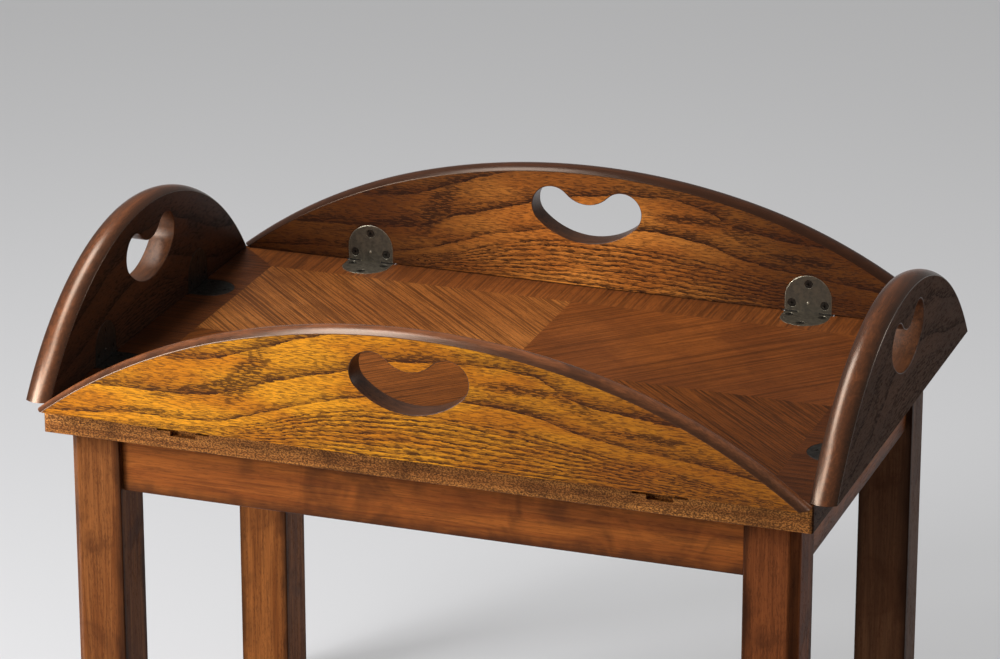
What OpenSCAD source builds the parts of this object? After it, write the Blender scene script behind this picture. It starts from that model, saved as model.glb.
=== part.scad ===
// Oval coffee table with a rectangular board and four hinged leaves that stand up as tray sides.
// Millimetres, +Z up, the feet on z = 0 and the board centred on the Z axis.

/* [Board] */
// Width of the board from left to right
board_width = 710; // [680:5:780]
// Depth of the board from front to back
board_depth = 464; // [444:4:540]
// Thickness of the board with its veneer
board_thickness = 25; // [22:1:32]
// Height of the board's top above the floor
top_height = 445; // [380:5:560]
// Thickness of the veneer on the board
veneer_thickness = 1; // [0.6:0.1:1.5]
// Width of the cross-grained veneer border
border_width = 49; // [44:1:70]
// Width of the solid wood lipping round the board's core
lipping_width = 8; // [7:0.5:14]
// Radius of the board's upright corners
board_corner = 4; // [2:0.5:8]
// Width of the chamfer along the board's edges
board_easing = 0.8; // [0.4:0.1:1.4]

/* [Leaves] */
// Thickness of a leaf
leaf_thickness = 24; // [22:1:30]
// Height of a long leaf above its hinge edge
long_leaf_height = 116; // [108:1:135]
// Height of a short leaf above its hinge edge
short_leaf_height = 119.5; // [108:0.5:135]
// Radius of a long leaf's middle arc over the radius of a single arc
crown_ratio = 1.08; // [1.02:0.01:1.12]
// Angle from the middle to the end of a long leaf's middle arc
crown_half_angle = 15; // [10:1:18]
// Distance from the middle of a leaf's rounded edge down to the edge's two corners
edge_crown = 4; // [3:0.5:6]
// Distance an upright leaf stands in from the board's edge
leaf_inset = 5; // [4.8:0.1:5.5]
// Gap between a leaf and the board
leaf_gap = 1.2; // [1.2:0.1:1.6]
// Distance a short leaf ends before each corner of the board
short_leaf_trim = 1; // [0.6:0.2:4]

/* [Hand holes] */
// Distance from the middle of a hand hole to the middle of each round end
hole_reach = 35; // [30:1:40]
// Radius of a hand hole's round ends
hole_end_radius = 19.5; // [17:0.5:20]
// Height of a hand hole's round ends above the hinge edge
hole_height = 76.5; // [74:0.5:78]
// Drop of the hand hole's lower edge below its round ends
hole_belly = 14; // [10:0.5:16]
// Drop of the hand hole's upper edge below the tops of its round ends
hole_dip = 15; // [8:0.5:16]

/* [Hinges] */
// Width of a hinge plate along the seam
plate_width = 46; // [44:1:50]
// Length of a hinge plate from the seam to its round end
plate_length = 36; // [34:0.5:38]
// Thickness of a hinge plate
plate_thickness = 2; // [1.8:0.1:2.2]
// Width of the leaf plate's knuckle
knuckle_width = 20; // [16:1:22]
// Gap between neighbouring knuckles
knuckle_gap = 0.3; // [0.3:0.1:0.6]
// Gap between a turning knuckle and the board
knuckle_room = 0.4; // [0.4:0.1:0.7]
// Room at each end of the trench cut for the knuckles
trench_room = 2; // [1:0.5:3]
// Depth of the trench below the knuckles
trench_drop = 3.4; // [0:0.2:4]
// Width of the well in the middle of the trench
well_width = 24; // [23:0.5:28]
// Depth of the well below the floor of the trench
well_drop = 4.2; // [2:0.2:6]
// Distance the knuckles stay below the faces of the plates
knuckle_relief = 0.1; // [0.1:0.05:0.2]
// Radius of a hinge pin
pin_radius = 1.2; // [1:0.05:1.3]
// Running clearance round a hinge pin
pin_clearance = 0.05; // [0.02:0.01:0.08]
// Distance of a long leaf's hinges in from the board's ends
long_hinge_in = 135; // [120:5:175]
// Distance of a short leaf's hinges in from the board's ends
short_hinge_in = 126; // [120:2:136]
// Distance of a plate's outer screws from the plate's middle line
screw_side = 16; // [15:0.5:17]
// Distance of a plate's outer screws from the seam
screw_near = 7.6; // [7:0.2:9]
// Distance of a plate's middle screw from the seam
screw_far = 27.5; // [26:0.5:28]
// Distance of the rivet on a leaf plate from the seam
rivet_place = 8.5; // [7:0.5:12]
// Radius of the rivet on a leaf plate
rivet_radius = 1.6; // [1:0.1:2]
// Radius of the flat top of the rivet
rivet_top_radius = 0.8; // [0.4:0.1:0.9]
// Height of the rivet's head above the plate
rivet_rise = 0.4; // [0.2:0.1:0.6]
// Width of a catch spring
spring_width = 12; // [9:1:16]
// Thickness of a catch spring
spring_thickness = 0.8; // [0.6:0.1:1.2]
// Distance a catch spring runs past the middle screw
spring_tail = 4; // [3:0.5:5]

/* [Screws] */
// Radius of a screw's head
screw_head_radius = 4; // [3.6:0.1:4.2]
// Radius of a screw's shank
screw_radius = 2; // [1.6:0.1:2.2]
// Length of a hinge screw
hinge_screw_length = 16; // [12:1:18]
// Length of a screw's point
screw_point = 4; // [3:0.5:6]
// Radius of a screw's blunt tip
screw_tip_radius = 0.3; // [0.2:0.1:0.5]
// Width across the cross recess in a screw's head
recess_width = 4; // [3:0.2:4.6]
// Width of one slot of the cross recess
recess_slot = 0.9; // [0.6:0.1:1.2]
// Depth of the cross recess
recess_depth = 1.4; // [0.8:0.1:1.6]

/* [Legs] */
// Width of a leg's square section
leg_width = 49; // [45:1:60]
// Distance of a leg's outer faces in from the board's edge
leg_setback = 16.5; // [15:0.5:30]
// Width of the chamfer on a leg's outer corner
leg_chamfer = 8.3; // [4:0.1:9]
// Radius of a foot glide
glide_radius = 14; // [10:1:18]
// Thickness of a foot glide
glide_thickness = 5; // [3:0.5:8]
// Radius of a glide's nail
nail_radius = 1.5; // [1:0.1:2.5]
// Length of a glide's nail
nail_length = 18; // [12:1:30]

/* [Aprons] */
// Thickness of an apron
apron_thickness = 20; // [18:1:24]
// Height of an apron
apron_height = 56; // [50:1:90]
// Distance of an apron's outer face behind the legs' outer faces
apron_recess = 5.5; // [3:0.5:6]
// Width of the chamfer along an apron's lower edges
apron_easing = 1.5; // [0.5:0.5:3]
// Thickness of an apron's tenon
tenon_thickness = 10; // [8:1:12]
// Length of an apron's tenon
tenon_length = 22; // [16:1:24]
// Height of the shoulder above and below an apron's tenon
tenon_shoulder = 8; // [5:1:12]

/* [Corner blocks] */
// Height of a corner block
block_height = 30; // [26:1:40]
// Length of a corner block along each apron
block_reach = 72; // [70:1:90]
// Width of a corner block's square ends
block_toe = 8; // [6:1:12]
// Distance of the apron screw from the leg's outer corner
apron_screw_place = 79.5; // [77:0.5:82]
// Wood left under an apron screw's head
apron_screw_seat = 14; // [12:1:16]
// Length of an apron screw
apron_screw_length = 28; // [24:1:30]
// Distance of a board screw from the leg's face
board_screw_in = 13; // [12:0.5:14]
// Distance of a board screw from the apron
board_screw_off = 12.5; // [11:0.5:13]
// Depth of the bore that sinks a board screw's head
board_screw_sink = 6; // [4:0.5:10]
// Length of a board screw in the board
board_screw_grip = 14; // [10:1:16]
// Radius of the bores that sink the heads of the block's screws
sink_radius = 5; // [4.6:0.1:5.4]
// Radius of a leg bolt
bolt_radius = 4; // [3:0.5:4.5]
// Length of a leg bolt in the leg
bolt_grip = 30; // [22:1:32]
// Length of a leg bolt beyond the block
bolt_tail = 12; // [10:0.5:16]
// Radius of a washer
washer_radius = 9; // [8:0.5:10]
// Thickness of a washer
washer_thickness = 1.6; // [1:0.2:2.4]
// Width of a nut across its corners
nut_width = 15; // [13:0.5:17]
// Thickness of a nut
nut_thickness = 6.5; // [5:0.5:7.5]

/* [Hidden] */
$fn = 96;
wide_arc_facets = 360;
half_width = board_width / 2;
half_depth = board_depth / 2;
core_thickness = board_thickness - veneer_thickness;
under_board = top_height - board_thickness;
cut_margin = 1;
// The hinge axis lies this far in from the board's edge and this far below its top.
axis_in = leaf_inset / 2;
knuckle_radius = axis_in - knuckle_relief;
plate_straight = plate_length - plate_width / 2;
knuckle_cut = leaf_inset + knuckle_room;
trench_depth = 2 * axis_in + knuckle_room + trench_drop;
well_depth = trench_depth + well_drop;
side_cut = knuckle_width / 2 + knuckle_gap;
edge_radius = (pow(leaf_thickness / 2, 2) + pow(edge_crown, 2)) / (2 * edge_crown);
short_half = half_depth - short_leaf_trim;
short_radius = (pow(short_half, 2) + pow(short_leaf_height, 2)) / (2 * short_leaf_height);
// A long leaf's outline is a middle arc with a tighter arc running on from each end of it.
long_single = (pow(half_width, 2) + pow(long_leaf_height, 2)) / (2 * long_leaf_height);
crown_radius = crown_ratio * long_single;
arc_top = pow(half_width, 2) + pow(long_leaf_height, 2) - 2 * long_leaf_height * crown_radius;
arc_run = half_width * sin(crown_half_angle);
arc_rise = (crown_radius - long_leaf_height) * cos(crown_half_angle);
arc_shift = arc_top / (2 * (arc_run + arc_rise - crown_radius));
end_radius = crown_radius - arc_shift;
joint_x = crown_radius * sin(crown_half_angle);
// The end arcs lie this little inside the middle arc where they join it.
arc_step = 0.05;
end_x = arc_shift * sin(crown_half_angle);
end_z = long_leaf_height - crown_radius + arc_shift * cos(crown_half_angle);
// A hand hole's lower and upper arcs run smoothly into its round ends.
reach_square = pow(hole_reach, 2) - pow(hole_end_radius, 2);
belly_radius = (reach_square + pow(hole_end_radius + hole_belly, 2)) / (2 * hole_belly);
belly_z = hole_height - hole_end_radius - hole_belly + belly_radius;
dip_radius = (reach_square + pow(hole_end_radius - hole_dip, 2)) / (2 * hole_dip);
dip_z = hole_height + hole_end_radius - hole_dip + dip_radius;
belly_scale = belly_radius / (belly_radius - hole_end_radius);
dip_scale = dip_radius / (dip_radius + hole_end_radius);
belly_joint = [hole_reach * belly_scale, belly_z + (hole_height - belly_z) * belly_scale];
dip_joint = [hole_reach * dip_scale, dip_z + (hole_height - dip_z) * dip_scale];
// A corner's own coordinates start at the leg's outer corner and run inwards.
apron_inner = apron_recess + apron_thickness;
tenon_front = apron_recess + (apron_thickness - tenon_thickness) / 2;
block_end = apron_inner + block_reach;
block_slope = block_end + apron_inner + block_toe;
block_bottom = under_board - block_height;
block_middle = under_board - block_height / 2;
bolt_start = norm([leg_width, leg_width]) - bolt_grip;
block_face = block_slope * cos(45);
board_screw_length = block_height - board_screw_sink + board_screw_grip;
apron_bottom = under_board - apron_height;
oak_color = [0.55, 0.33, 0.14];
leaf_color = [0.62, 0.36, 0.14];
veneer_color = [0.5, 0.27, 0.11];
core_color = [0.72, 0.58, 0.4];
block_color = [0.68, 0.52, 0.32];
plate_color = [0.3, 0.3, 0.26];
steel_color = [0.62, 0.62, 0.6];
glide_color = [0.2, 0.2, 0.2];

// Sides are numbered front, right, back, left.
SIDES = [0, 1, 2, 3];
ENDS = [-1, 1];
function run(side) = side % 2 == 0 ? half_width : half_depth;
function reach(side) = side % 2 == 0 ? half_depth : half_width;
function hinge_place(side) = run(side) - (side % 2 == 0 ? long_hinge_in : short_hinge_in);

// Puts a piece drawn at the front edge on a side: x along the edge, y inwards, z = 0 on the top.
module on_side(side) {
    rotate([0, 0, 90 * side])
        translate([0, -reach(side), top_height])
            children();
}

// Puts a piece drawn at the middle of an edge where one hinge of a side sits.
module at_hinge(side, end) {
    on_side(side)
        translate([end * hinge_place(side), 0, 0])
            children();
}

// Puts a piece drawn from a leg's outer corner inwards at one corner of the table.
module at_corner(x_sign, y_sign) {
    mirror([x_sign > 0 ? 1 : 0, 0, 0])
        mirror([0, y_sign > 0 ? 1 : 0, 0])
            translate([leg_setback - half_width, leg_setback - half_depth, 0])
                children();
}

// Puts a piece at all four corners.
module at_corners() {
    for (x_sign = ENDS) {
        for (y_sign = ENDS) {
            at_corner(x_sign, y_sign)
                children();
        }
    }
}

// Draws a piece twice, once as it is and once with its x and y swapped.
module both_ways() {
    children();
    mirror([1, -1, 0])
        children();
}

// The plan of the board with its round corners.
module board_plan() {
    square([board_width - 2 * board_corner, board_depth], center = true);
    square([board_width, board_depth - 2 * board_corner], center = true);
    for (x = ENDS) {
        for (y = ENDS) {
            translate([x * (half_width - board_corner), y * (half_depth - board_corner)])
                circle(r = board_corner);
        }
    }
}

// The plan of a mitred strip along the front edge, drawn a little past the board's edge.
module strip_plan(side, width) {
    far = run(side);
    edge = reach(side);
    polygon([
        [-far - cut_margin, -edge - cut_margin],
        [far + cut_margin, -edge - cut_margin],
        [far - width, width - edge],
        [width - far, width - edge]
    ]);
}

// Square bars on edge along the board's upper and lower edges, which cut the chamfers.
module easing_bars() {
    bar = norm([board_easing, board_easing]);
    for (side = SIDES) {
        for (height = [under_board, top_height]) {
            rotate([0, 0, 90 * side])
                translate([0, -reach(side), height])
                    rotate([45, 0, 0])
                        cube([2 * run(side) + 2 * cut_margin, bar, bar], center = true);
        }
    }
}

// A mitred strip along one side of the board.
module board_strip(side, width, bottom, top) {
    difference() {
        translate([0, 0, bottom])
            linear_extrude(top - bottom)
                intersection() {
                    board_plan();
                    rotate(90 * side)
                        strip_plan(side, width);
                }
        easing_bars();
    }
}

// A screw without its recess, head up, the top of the head on z = 0.
module screw_body(length) {
    cone = screw_head_radius - screw_radius;
    translate([0, 0, -cone])
        cylinder(r1 = screw_radius, r2 = screw_head_radius, h = cone);
    translate([0, 0, screw_point - length])
        cylinder(r = screw_radius, h = length - screw_point - cone);
    translate([0, 0, -length])
        cylinder(r1 = screw_tip_radius, r2 = screw_radius, h = screw_point);
}

// A countersunk screw with a cross recess.
module screw(length) {
    difference() {
        screw_body(length);
        translate([0, 0, -recess_depth / 2 + cut_margin / 2]) {
            cube([recess_width, recess_slot, recess_depth + cut_margin], center = true);
            cube([recess_slot, recess_width, recess_depth + cut_margin], center = true);
        }
    }
}

// Puts a screw at each of the three screw places of a hinge plate: x along the seam, y away from it.
module at_plate_screws() {
    for (end = ENDS) {
        translate([end * screw_side, screw_near, 0])
            children();
    }
    translate([0, screw_far, 0])
        children();
}

// Puts a piece drawn on a plate's face on the board: the seam on y = 0.
module on_board_plate() {
    translate([0, leaf_inset, 0])
        children();
}

// Puts a piece drawn on a plate's face on the upright leaf.
module on_leaf_plate() {
    translate([0, leaf_inset, leaf_gap])
        rotate([90, 0, 0])
            mirror([0, 0, 1])
                children();
}

// The outline of a plate with its round end, starting the given distance before the seam.
module plate_outline(before) {
    translate([-plate_width / 2, -before])
        square([plate_width, plate_straight + before]);
    intersection() {
        translate([0, plate_straight])
            circle(d = plate_width);
        translate([-plate_width / 2, -before])
            square([plate_width, plate_length + before]);
    }
}

// A bar along the hinge axis.
module axis_bar(radius, length) {
    translate([-length / 2, axis_in, -axis_in])
        rotate([0, 90, 0])
            cylinder(r = radius, h = length);
}

// The plate let into the board, with a knuckle at each side.
module board_plate() {
    difference() {
        union() {
            translate([0, 0, -plate_thickness])
                linear_extrude(plate_thickness)
                    board_plate_outline();
            axis_bar(knuckle_radius, plate_width);
        }
        translate([-side_cut, -cut_margin, -trench_depth])
            cube([2 * side_cut, knuckle_cut + cut_margin, trench_depth + cut_margin]);
        axis_bar(pin_radius, plate_width + 2 * cut_margin);
        on_board_plate()
            at_plate_screws()
                screw_body(hinge_screw_length);
    }
}

// The board plate's outline from the hinge axis to its round end.
module board_plate_outline() {
    translate([0, leaf_inset])
        plate_outline(leaf_inset - axis_in);
}

// The plate let into a leaf, with its knuckle in the middle.
module leaf_plate() {
    difference() {
        union() {
            translate([0, leaf_inset, leaf_gap])
                rotate([90, 0, 0])
                    linear_extrude(plate_thickness)
                        plate_outline(0);
            translate([-knuckle_width / 2, leaf_inset - plate_thickness, -axis_in])
                cube([knuckle_width, plate_thickness, axis_in + leaf_gap + cut_margin]);
            axis_bar(knuckle_radius, knuckle_width);
            translate([0, leaf_inset, leaf_gap + rivet_place])
                rotate([-90, 0, 0])
                    cylinder(r1 = rivet_radius, r2 = rivet_top_radius, h = rivet_rise);
        }
        axis_bar(pin_radius + pin_clearance, plate_width);
        on_leaf_plate()
            at_plate_screws()
                screw_body(hinge_screw_length);
    }
}

// The spring strip that lies under a board plate and holds the leaf plate's knuckle.
module catch_spring() {
    translate([-spring_width / 2, knuckle_cut, -plate_thickness - spring_thickness])
        cube([spring_width, leaf_inset + screw_far + spring_tail - knuckle_cut, spring_thickness]);
}

// Everything cut from the board for one hinge.
module board_hinge_cut() {
    translate([0, 0, -plate_thickness])
        linear_extrude(plate_thickness + cut_margin)
            board_plate_outline();
    translate([-plate_width / 2 - trench_room, -cut_margin, -trench_depth])
        cube([plate_width + 2 * trench_room, knuckle_cut + cut_margin, trench_depth + cut_margin]);
    translate([-well_width / 2, -cut_margin, -well_depth])
        cube([well_width, knuckle_cut + cut_margin, well_depth]);
    catch_spring();
    on_board_plate()
        at_plate_screws()
            screw_body(hinge_screw_length);
}

// Everything cut from a leaf for one hinge.
module leaf_hinge_cut() {
    translate([0, leaf_inset + cut_margin, leaf_gap])
        rotate([90, 0, 0])
            linear_extrude(plate_thickness + cut_margin)
                plate_outline(cut_margin);
    on_leaf_plate()
        at_plate_screws()
            screw_body(hinge_screw_length);
}

// The cuts for the two hinges of one side of the board.
module board_side_cuts(side) {
    for (end = ENDS) {
        at_hinge(side, end)
            board_hinge_cut();
    }
}

// A disc with a rounded edge, its middle on the y = 0 plane.
module rounded_disc(radius) {
    rotate([90, 0, 0])
        rotate_extrude($fn = wide_arc_facets) {
            translate([0, -leaf_thickness / 2])
                square([radius - edge_radius, leaf_thickness]);
            intersection() {
                translate([radius - edge_radius, 0])
                    circle(r = edge_radius);
                translate([radius - edge_radius, -leaf_thickness / 2])
                    square([edge_radius, leaf_thickness]);
            }
        }
}

// The outline of a long leaf in the round, its hinge edge on z = 0.
module long_blank() {
    intersection() {
        translate([0, 0, long_leaf_height - crown_radius])
            rounded_disc(crown_radius);
        translate([-joint_x, -leaf_thickness, 0])
            cube([2 * joint_x, 2 * leaf_thickness, long_leaf_height + cut_margin]);
    }
    for (end = ENDS) {
        translate([end * end_x, 0, end_z])
            rounded_disc(end_radius - arc_step);
    }
}

// The outline of a short leaf in the round, its hinge edge on z = 0.
module short_blank() {
    translate([0, 0, short_leaf_height - short_radius])
        rounded_disc(short_radius);
}

// The outline of a hand hole.
module hand_hole() {
    for (end = ENDS) {
        translate([end * hole_reach, hole_height])
            circle(r = hole_end_radius);
    }
    difference() {
        intersection() {
            translate([0, belly_z])
                circle(r = belly_radius);
            polygon([
                [-belly_joint[0], belly_joint[1]],
                [-belly_joint[0], belly_z - belly_radius - cut_margin],
                [belly_joint[0], belly_z - belly_radius - cut_margin],
                belly_joint,
                [hole_reach, hole_height],
                dip_joint,
                [-dip_joint[0], dip_joint[1]],
                [-hole_reach, hole_height]
            ]);
        }
        translate([0, dip_z])
            circle(r = dip_radius);
    }
}

// A whole leaf drawn at the front edge of the board.
module leaf(side) {
    tall = side % 2 == 0 ? long_leaf_height : short_leaf_height;
    difference() {
        translate([0, leaf_inset - leaf_thickness / 2, leaf_gap])
            intersection() {
                if (side % 2 == 0) {
                    long_blank();
                } else {
                    short_blank();
                }
                translate([-2 * run(side), -leaf_thickness, 0])
                    cube([4 * run(side), 2 * leaf_thickness, tall + cut_margin]);
            }
        translate([0, leaf_inset + cut_margin, leaf_gap])
            rotate([90, 0, 0])
                linear_extrude(leaf_thickness + 2 * cut_margin)
                    hand_hole();
        for (end = ENDS) {
            translate([end * hinge_place(side), 0, 0])
                leaf_hinge_cut();
        }
    }
}

// The tenon at one end of the front apron, in a corner's own coordinates.
module tenon() {
    translate([leg_width - tenon_length, tenon_front, apron_bottom + tenon_shoulder])
        cube([tenon_length + cut_margin, tenon_thickness, apron_height - 2 * tenon_shoulder]);
}

// The bolt through a block into the leg, along the corner's diagonal.
module on_bolt_line(distance) {
    translate([0, 0, block_middle])
        rotate([0, 0, 45])
            translate([distance, 0, 0])
                rotate([0, 90, 0])
                    children();
}

// A leg bolt.
module leg_bolt() {
    on_bolt_line(bolt_start)
        cylinder(r = bolt_radius, h = block_face + bolt_tail - bolt_start);
}

// The glide's disc and nail.
module glide() {
    translate([leg_width / 2, leg_width / 2, 0]) {
        cylinder(r = glide_radius, h = glide_thickness);
        cylinder(r = nail_radius, h = glide_thickness + nail_length);
    }
}

// A leg in its corner's own coordinates.
module leg() {
    difference() {
        translate([0, 0, glide_thickness])
            linear_extrude(under_board - glide_thickness)
                polygon([
                    [leg_chamfer, 0],
                    [leg_width, 0],
                    [leg_width, leg_width],
                    [0, leg_width],
                    [0, leg_chamfer]
                ]);
        both_ways()
            tenon();
        leg_bolt();
        glide();
    }
}

// An apron for a side, drawn along the front edge.
module apron(side) {
    length = 2 * (run(side) - leg_setback - leg_width);
    rotate([0, 0, 90 * side])
        difference() {
            translate([0, leg_setback - reach(side), 0])
                union() {
                    translate([-length / 2, 0, 0])
                        rotate([90, 0, 90])
                            linear_extrude(length)
                                polygon([
                                    [apron_recess + apron_easing, apron_bottom],
                                    [apron_inner - apron_easing, apron_bottom],
                                    [apron_inner, apron_bottom + apron_easing],
                                    [apron_inner, under_board],
                                    [apron_recess, under_board],
                                    [apron_recess, apron_bottom + apron_easing]
                                ]);
                    translate([-length / 2 - tenon_length, tenon_front, apron_bottom + tenon_shoulder])
                        cube([length + 2 * tenon_length, tenon_thickness, apron_height - 2 * tenon_shoulder]);
                }
            translate([0, -reach(side), 0])
                for (end = ENDS) {
                    mirror([end > 0 ? 1 : 0, 0, 0])
                        translate([leg_setback - run(side), leg_setback, 0])
                            at_apron_screw()
                                screw_body(apron_screw_length);
                }
        }
}

// Puts a screw that runs through the corner block into the apron beside it.
module at_apron_screw() {
    translate([apron_screw_place, apron_inner + apron_screw_seat, block_middle])
        rotate([-90, 0, 0])
            children();
}

// Puts a screw that runs up through the corner block into the board.
module at_board_screw() {
    translate([leg_width + board_screw_in, apron_inner + board_screw_off, block_bottom + board_screw_sink])
        rotate([180, 0, 0])
            children();
}

// A corner block in its corner's own coordinates.
module block() {
    difference() {
        translate([0, 0, block_bottom])
            linear_extrude(block_height)
                polygon([
                    [leg_width, apron_inner],
                    [block_end, apron_inner],
                    [block_end, apron_inner + block_toe],
                    [apron_inner + block_toe, block_end],
                    [apron_inner, block_end],
                    [apron_inner, leg_width],
                    [leg_width, leg_width]
                ]);
        leg_bolt();
        both_ways() {
            at_apron_screw() {
                screw_body(apron_screw_length);
                cylinder(r = sink_radius, h = block_reach);
            }
            at_board_screw() {
                screw_body(board_screw_length);
                cylinder(r = sink_radius, h = board_screw_sink + cut_margin);
            }
        }
    }
}

// A quarter of the board's middle veneer.
module quarter(x_sign, y_sign) {
    width = half_width - border_width;
    depth = half_depth - border_width;
    translate([x_sign > 0 ? 0 : -width, y_sign > 0 ? 0 : -depth, top_height - veneer_thickness])
        cube([width, depth, veneer_thickness]);
}

// A strip of solid lipping along one side.
module lipping(side) {
    difference() {
        board_strip(side, lipping_width, under_board, top_height - veneer_thickness);
        board_side_cuts(side);
    }
}

// A strip of cross-grained veneer along one side.
module border(side) {
    difference() {
        board_strip(side, border_width, top_height - veneer_thickness, top_height);
        board_side_cuts(side);
    }
}

// The screws of one leaf's two plates.
module leaf_screws(side) {
    for (end = ENDS) {
        at_hinge(side, end)
            on_leaf_plate()
                at_plate_screws()
                    screw(hinge_screw_length);
    }
}

// The board's core inside the lipping and under the veneer.
module board_core() {
    inner_width = board_width - 2 * lipping_width;
    inner_depth = board_depth - 2 * lipping_width;
    color(core_color)
        difference() {
            translate([-inner_width / 2, -inner_depth / 2, under_board])
                cube([inner_width, inner_depth, core_thickness]);
            for (side = SIDES) {
                board_side_cuts(side);
            }
            at_corners()
                both_ways()
                    at_board_screw()
                        screw_body(board_screw_length);
        }
}

module lipping_front() {
    color(oak_color)
        lipping(0);
}

module lipping_right() {
    color(oak_color)
        lipping(1);
}

module lipping_back() {
    color(oak_color)
        lipping(2);
}

module lipping_left() {
    color(oak_color)
        lipping(3);
}

module border_front() {
    color(veneer_color)
        border(0);
}

module border_right() {
    color(veneer_color)
        border(1);
}

module border_back() {
    color(veneer_color)
        border(2);
}

module border_left() {
    color(veneer_color)
        border(3);
}

module quarter_front_left() {
    color(veneer_color)
        quarter(-1, -1);
}

module quarter_front_right() {
    color(veneer_color)
        quarter(1, -1);
}

module quarter_back_left() {
    color(veneer_color)
        quarter(-1, 1);
}

module quarter_back_right() {
    color(veneer_color)
        quarter(1, 1);
}

module leg_front_left() {
    color(oak_color)
        at_corner(-1, -1)
            leg();
}

module leg_front_right() {
    color(oak_color)
        at_corner(1, -1)
            leg();
}

module leg_back_left() {
    color(oak_color)
        at_corner(-1, 1)
            leg();
}

module leg_back_right() {
    color(oak_color)
        at_corner(1, 1)
            leg();
}

module apron_front() {
    color(oak_color)
        apron(0);
}

module apron_right() {
    color(oak_color)
        apron(1);
}

module apron_back() {
    color(oak_color)
        apron(2);
}

module apron_left() {
    color(oak_color)
        apron(3);
}

module block_front_left() {
    color(block_color)
        at_corner(-1, -1)
            block();
}

module block_front_right() {
    color(block_color)
        at_corner(1, -1)
            block();
}

module block_back_left() {
    color(block_color)
        at_corner(-1, 1)
            block();
}

module block_back_right() {
    color(block_color)
        at_corner(1, 1)
            block();
}

// The bolts that pull the legs into their corners.
module leg_bolts() {
    color(steel_color)
        at_corners()
            leg_bolt();
}

// The washers under the nuts.
module leg_washers() {
    color(steel_color)
        at_corners()
            difference() {
                on_bolt_line(block_face)
                    cylinder(r = washer_radius, h = washer_thickness);
                leg_bolt();
            }
}

// The nuts on the leg bolts.
module leg_nuts() {
    color(steel_color)
        at_corners()
            difference() {
                on_bolt_line(block_face + washer_thickness)
                    cylinder(d = nut_width, h = nut_thickness, $fn = 6);
                leg_bolt();
            }
}

// The screws from the corner blocks into the aprons.
module apron_screws() {
    color(steel_color)
        at_corners()
            both_ways()
                at_apron_screw()
                    screw(apron_screw_length);
}

// The screws from the corner blocks up into the board.
module board_screws() {
    color(steel_color)
        at_corners()
            both_ways()
                at_board_screw()
                    screw(board_screw_length);
}

// The glides nailed under the legs.
module foot_glides() {
    color(glide_color)
        at_corners()
            glide();
}

module board_plate_front_left() {
    color(plate_color)
        at_hinge(0, -1)
            board_plate();
}

module board_plate_front_right() {
    color(plate_color)
        at_hinge(0, 1)
            board_plate();
}

module board_plate_right_front() {
    color(plate_color)
        at_hinge(1, -1)
            board_plate();
}

module board_plate_right_back() {
    color(plate_color)
        at_hinge(1, 1)
            board_plate();
}

module board_plate_back_right() {
    color(plate_color)
        at_hinge(2, -1)
            board_plate();
}

module board_plate_back_left() {
    color(plate_color)
        at_hinge(2, 1)
            board_plate();
}

module board_plate_left_back() {
    color(plate_color)
        at_hinge(3, -1)
            board_plate();
}

module board_plate_left_front() {
    color(plate_color)
        at_hinge(3, 1)
            board_plate();
}

module leaf_plate_front_left() {
    color(plate_color)
        at_hinge(0, -1)
            leaf_plate();
}

module leaf_plate_front_right() {
    color(plate_color)
        at_hinge(0, 1)
            leaf_plate();
}

module leaf_plate_right_front() {
    color(plate_color)
        at_hinge(1, -1)
            leaf_plate();
}

module leaf_plate_right_back() {
    color(plate_color)
        at_hinge(1, 1)
            leaf_plate();
}

module leaf_plate_back_right() {
    color(plate_color)
        at_hinge(2, -1)
            leaf_plate();
}

module leaf_plate_back_left() {
    color(plate_color)
        at_hinge(2, 1)
            leaf_plate();
}

module leaf_plate_left_back() {
    color(plate_color)
        at_hinge(3, -1)
            leaf_plate();
}

module leaf_plate_left_front() {
    color(plate_color)
        at_hinge(3, 1)
            leaf_plate();
}

// The pins pressed into the board plates' knuckles.
module hinge_pins() {
    color(steel_color)
        for (side = SIDES) {
            for (end = ENDS) {
                at_hinge(side, end)
                    axis_bar(pin_radius, plate_width);
            }
        }
}

// The springs under the board plates.
module catch_springs() {
    color(steel_color)
        for (side = SIDES) {
            for (end = ENDS) {
                at_hinge(side, end)
                    difference() {
                        catch_spring();
                        on_board_plate()
                            at_plate_screws()
                                screw_body(hinge_screw_length);
                    }
            }
        }
}

// The screws of the board plates.
module board_plate_screws() {
    color(plate_color)
        for (side = SIDES) {
            for (end = ENDS) {
                at_hinge(side, end)
                    on_board_plate()
                        at_plate_screws()
                            screw(hinge_screw_length);
            }
        }
}

module leaf_screws_front() {
    color(plate_color)
        leaf_screws(0);
}

module leaf_screws_right() {
    color(plate_color)
        leaf_screws(1);
}

module leaf_screws_back() {
    color(plate_color)
        leaf_screws(2);
}

module leaf_screws_left() {
    color(plate_color)
        leaf_screws(3);
}

module leaf_front() {
    color(leaf_color)
        on_side(0)
            leaf(0);
}

module leaf_right() {
    color(leaf_color)
        on_side(1)
            leaf(1);
}

module leaf_back() {
    color(leaf_color)
        on_side(2)
            leaf(2);
}

module leaf_left() {
    color(leaf_color)
        on_side(3)
            leaf(3);
}

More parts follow.
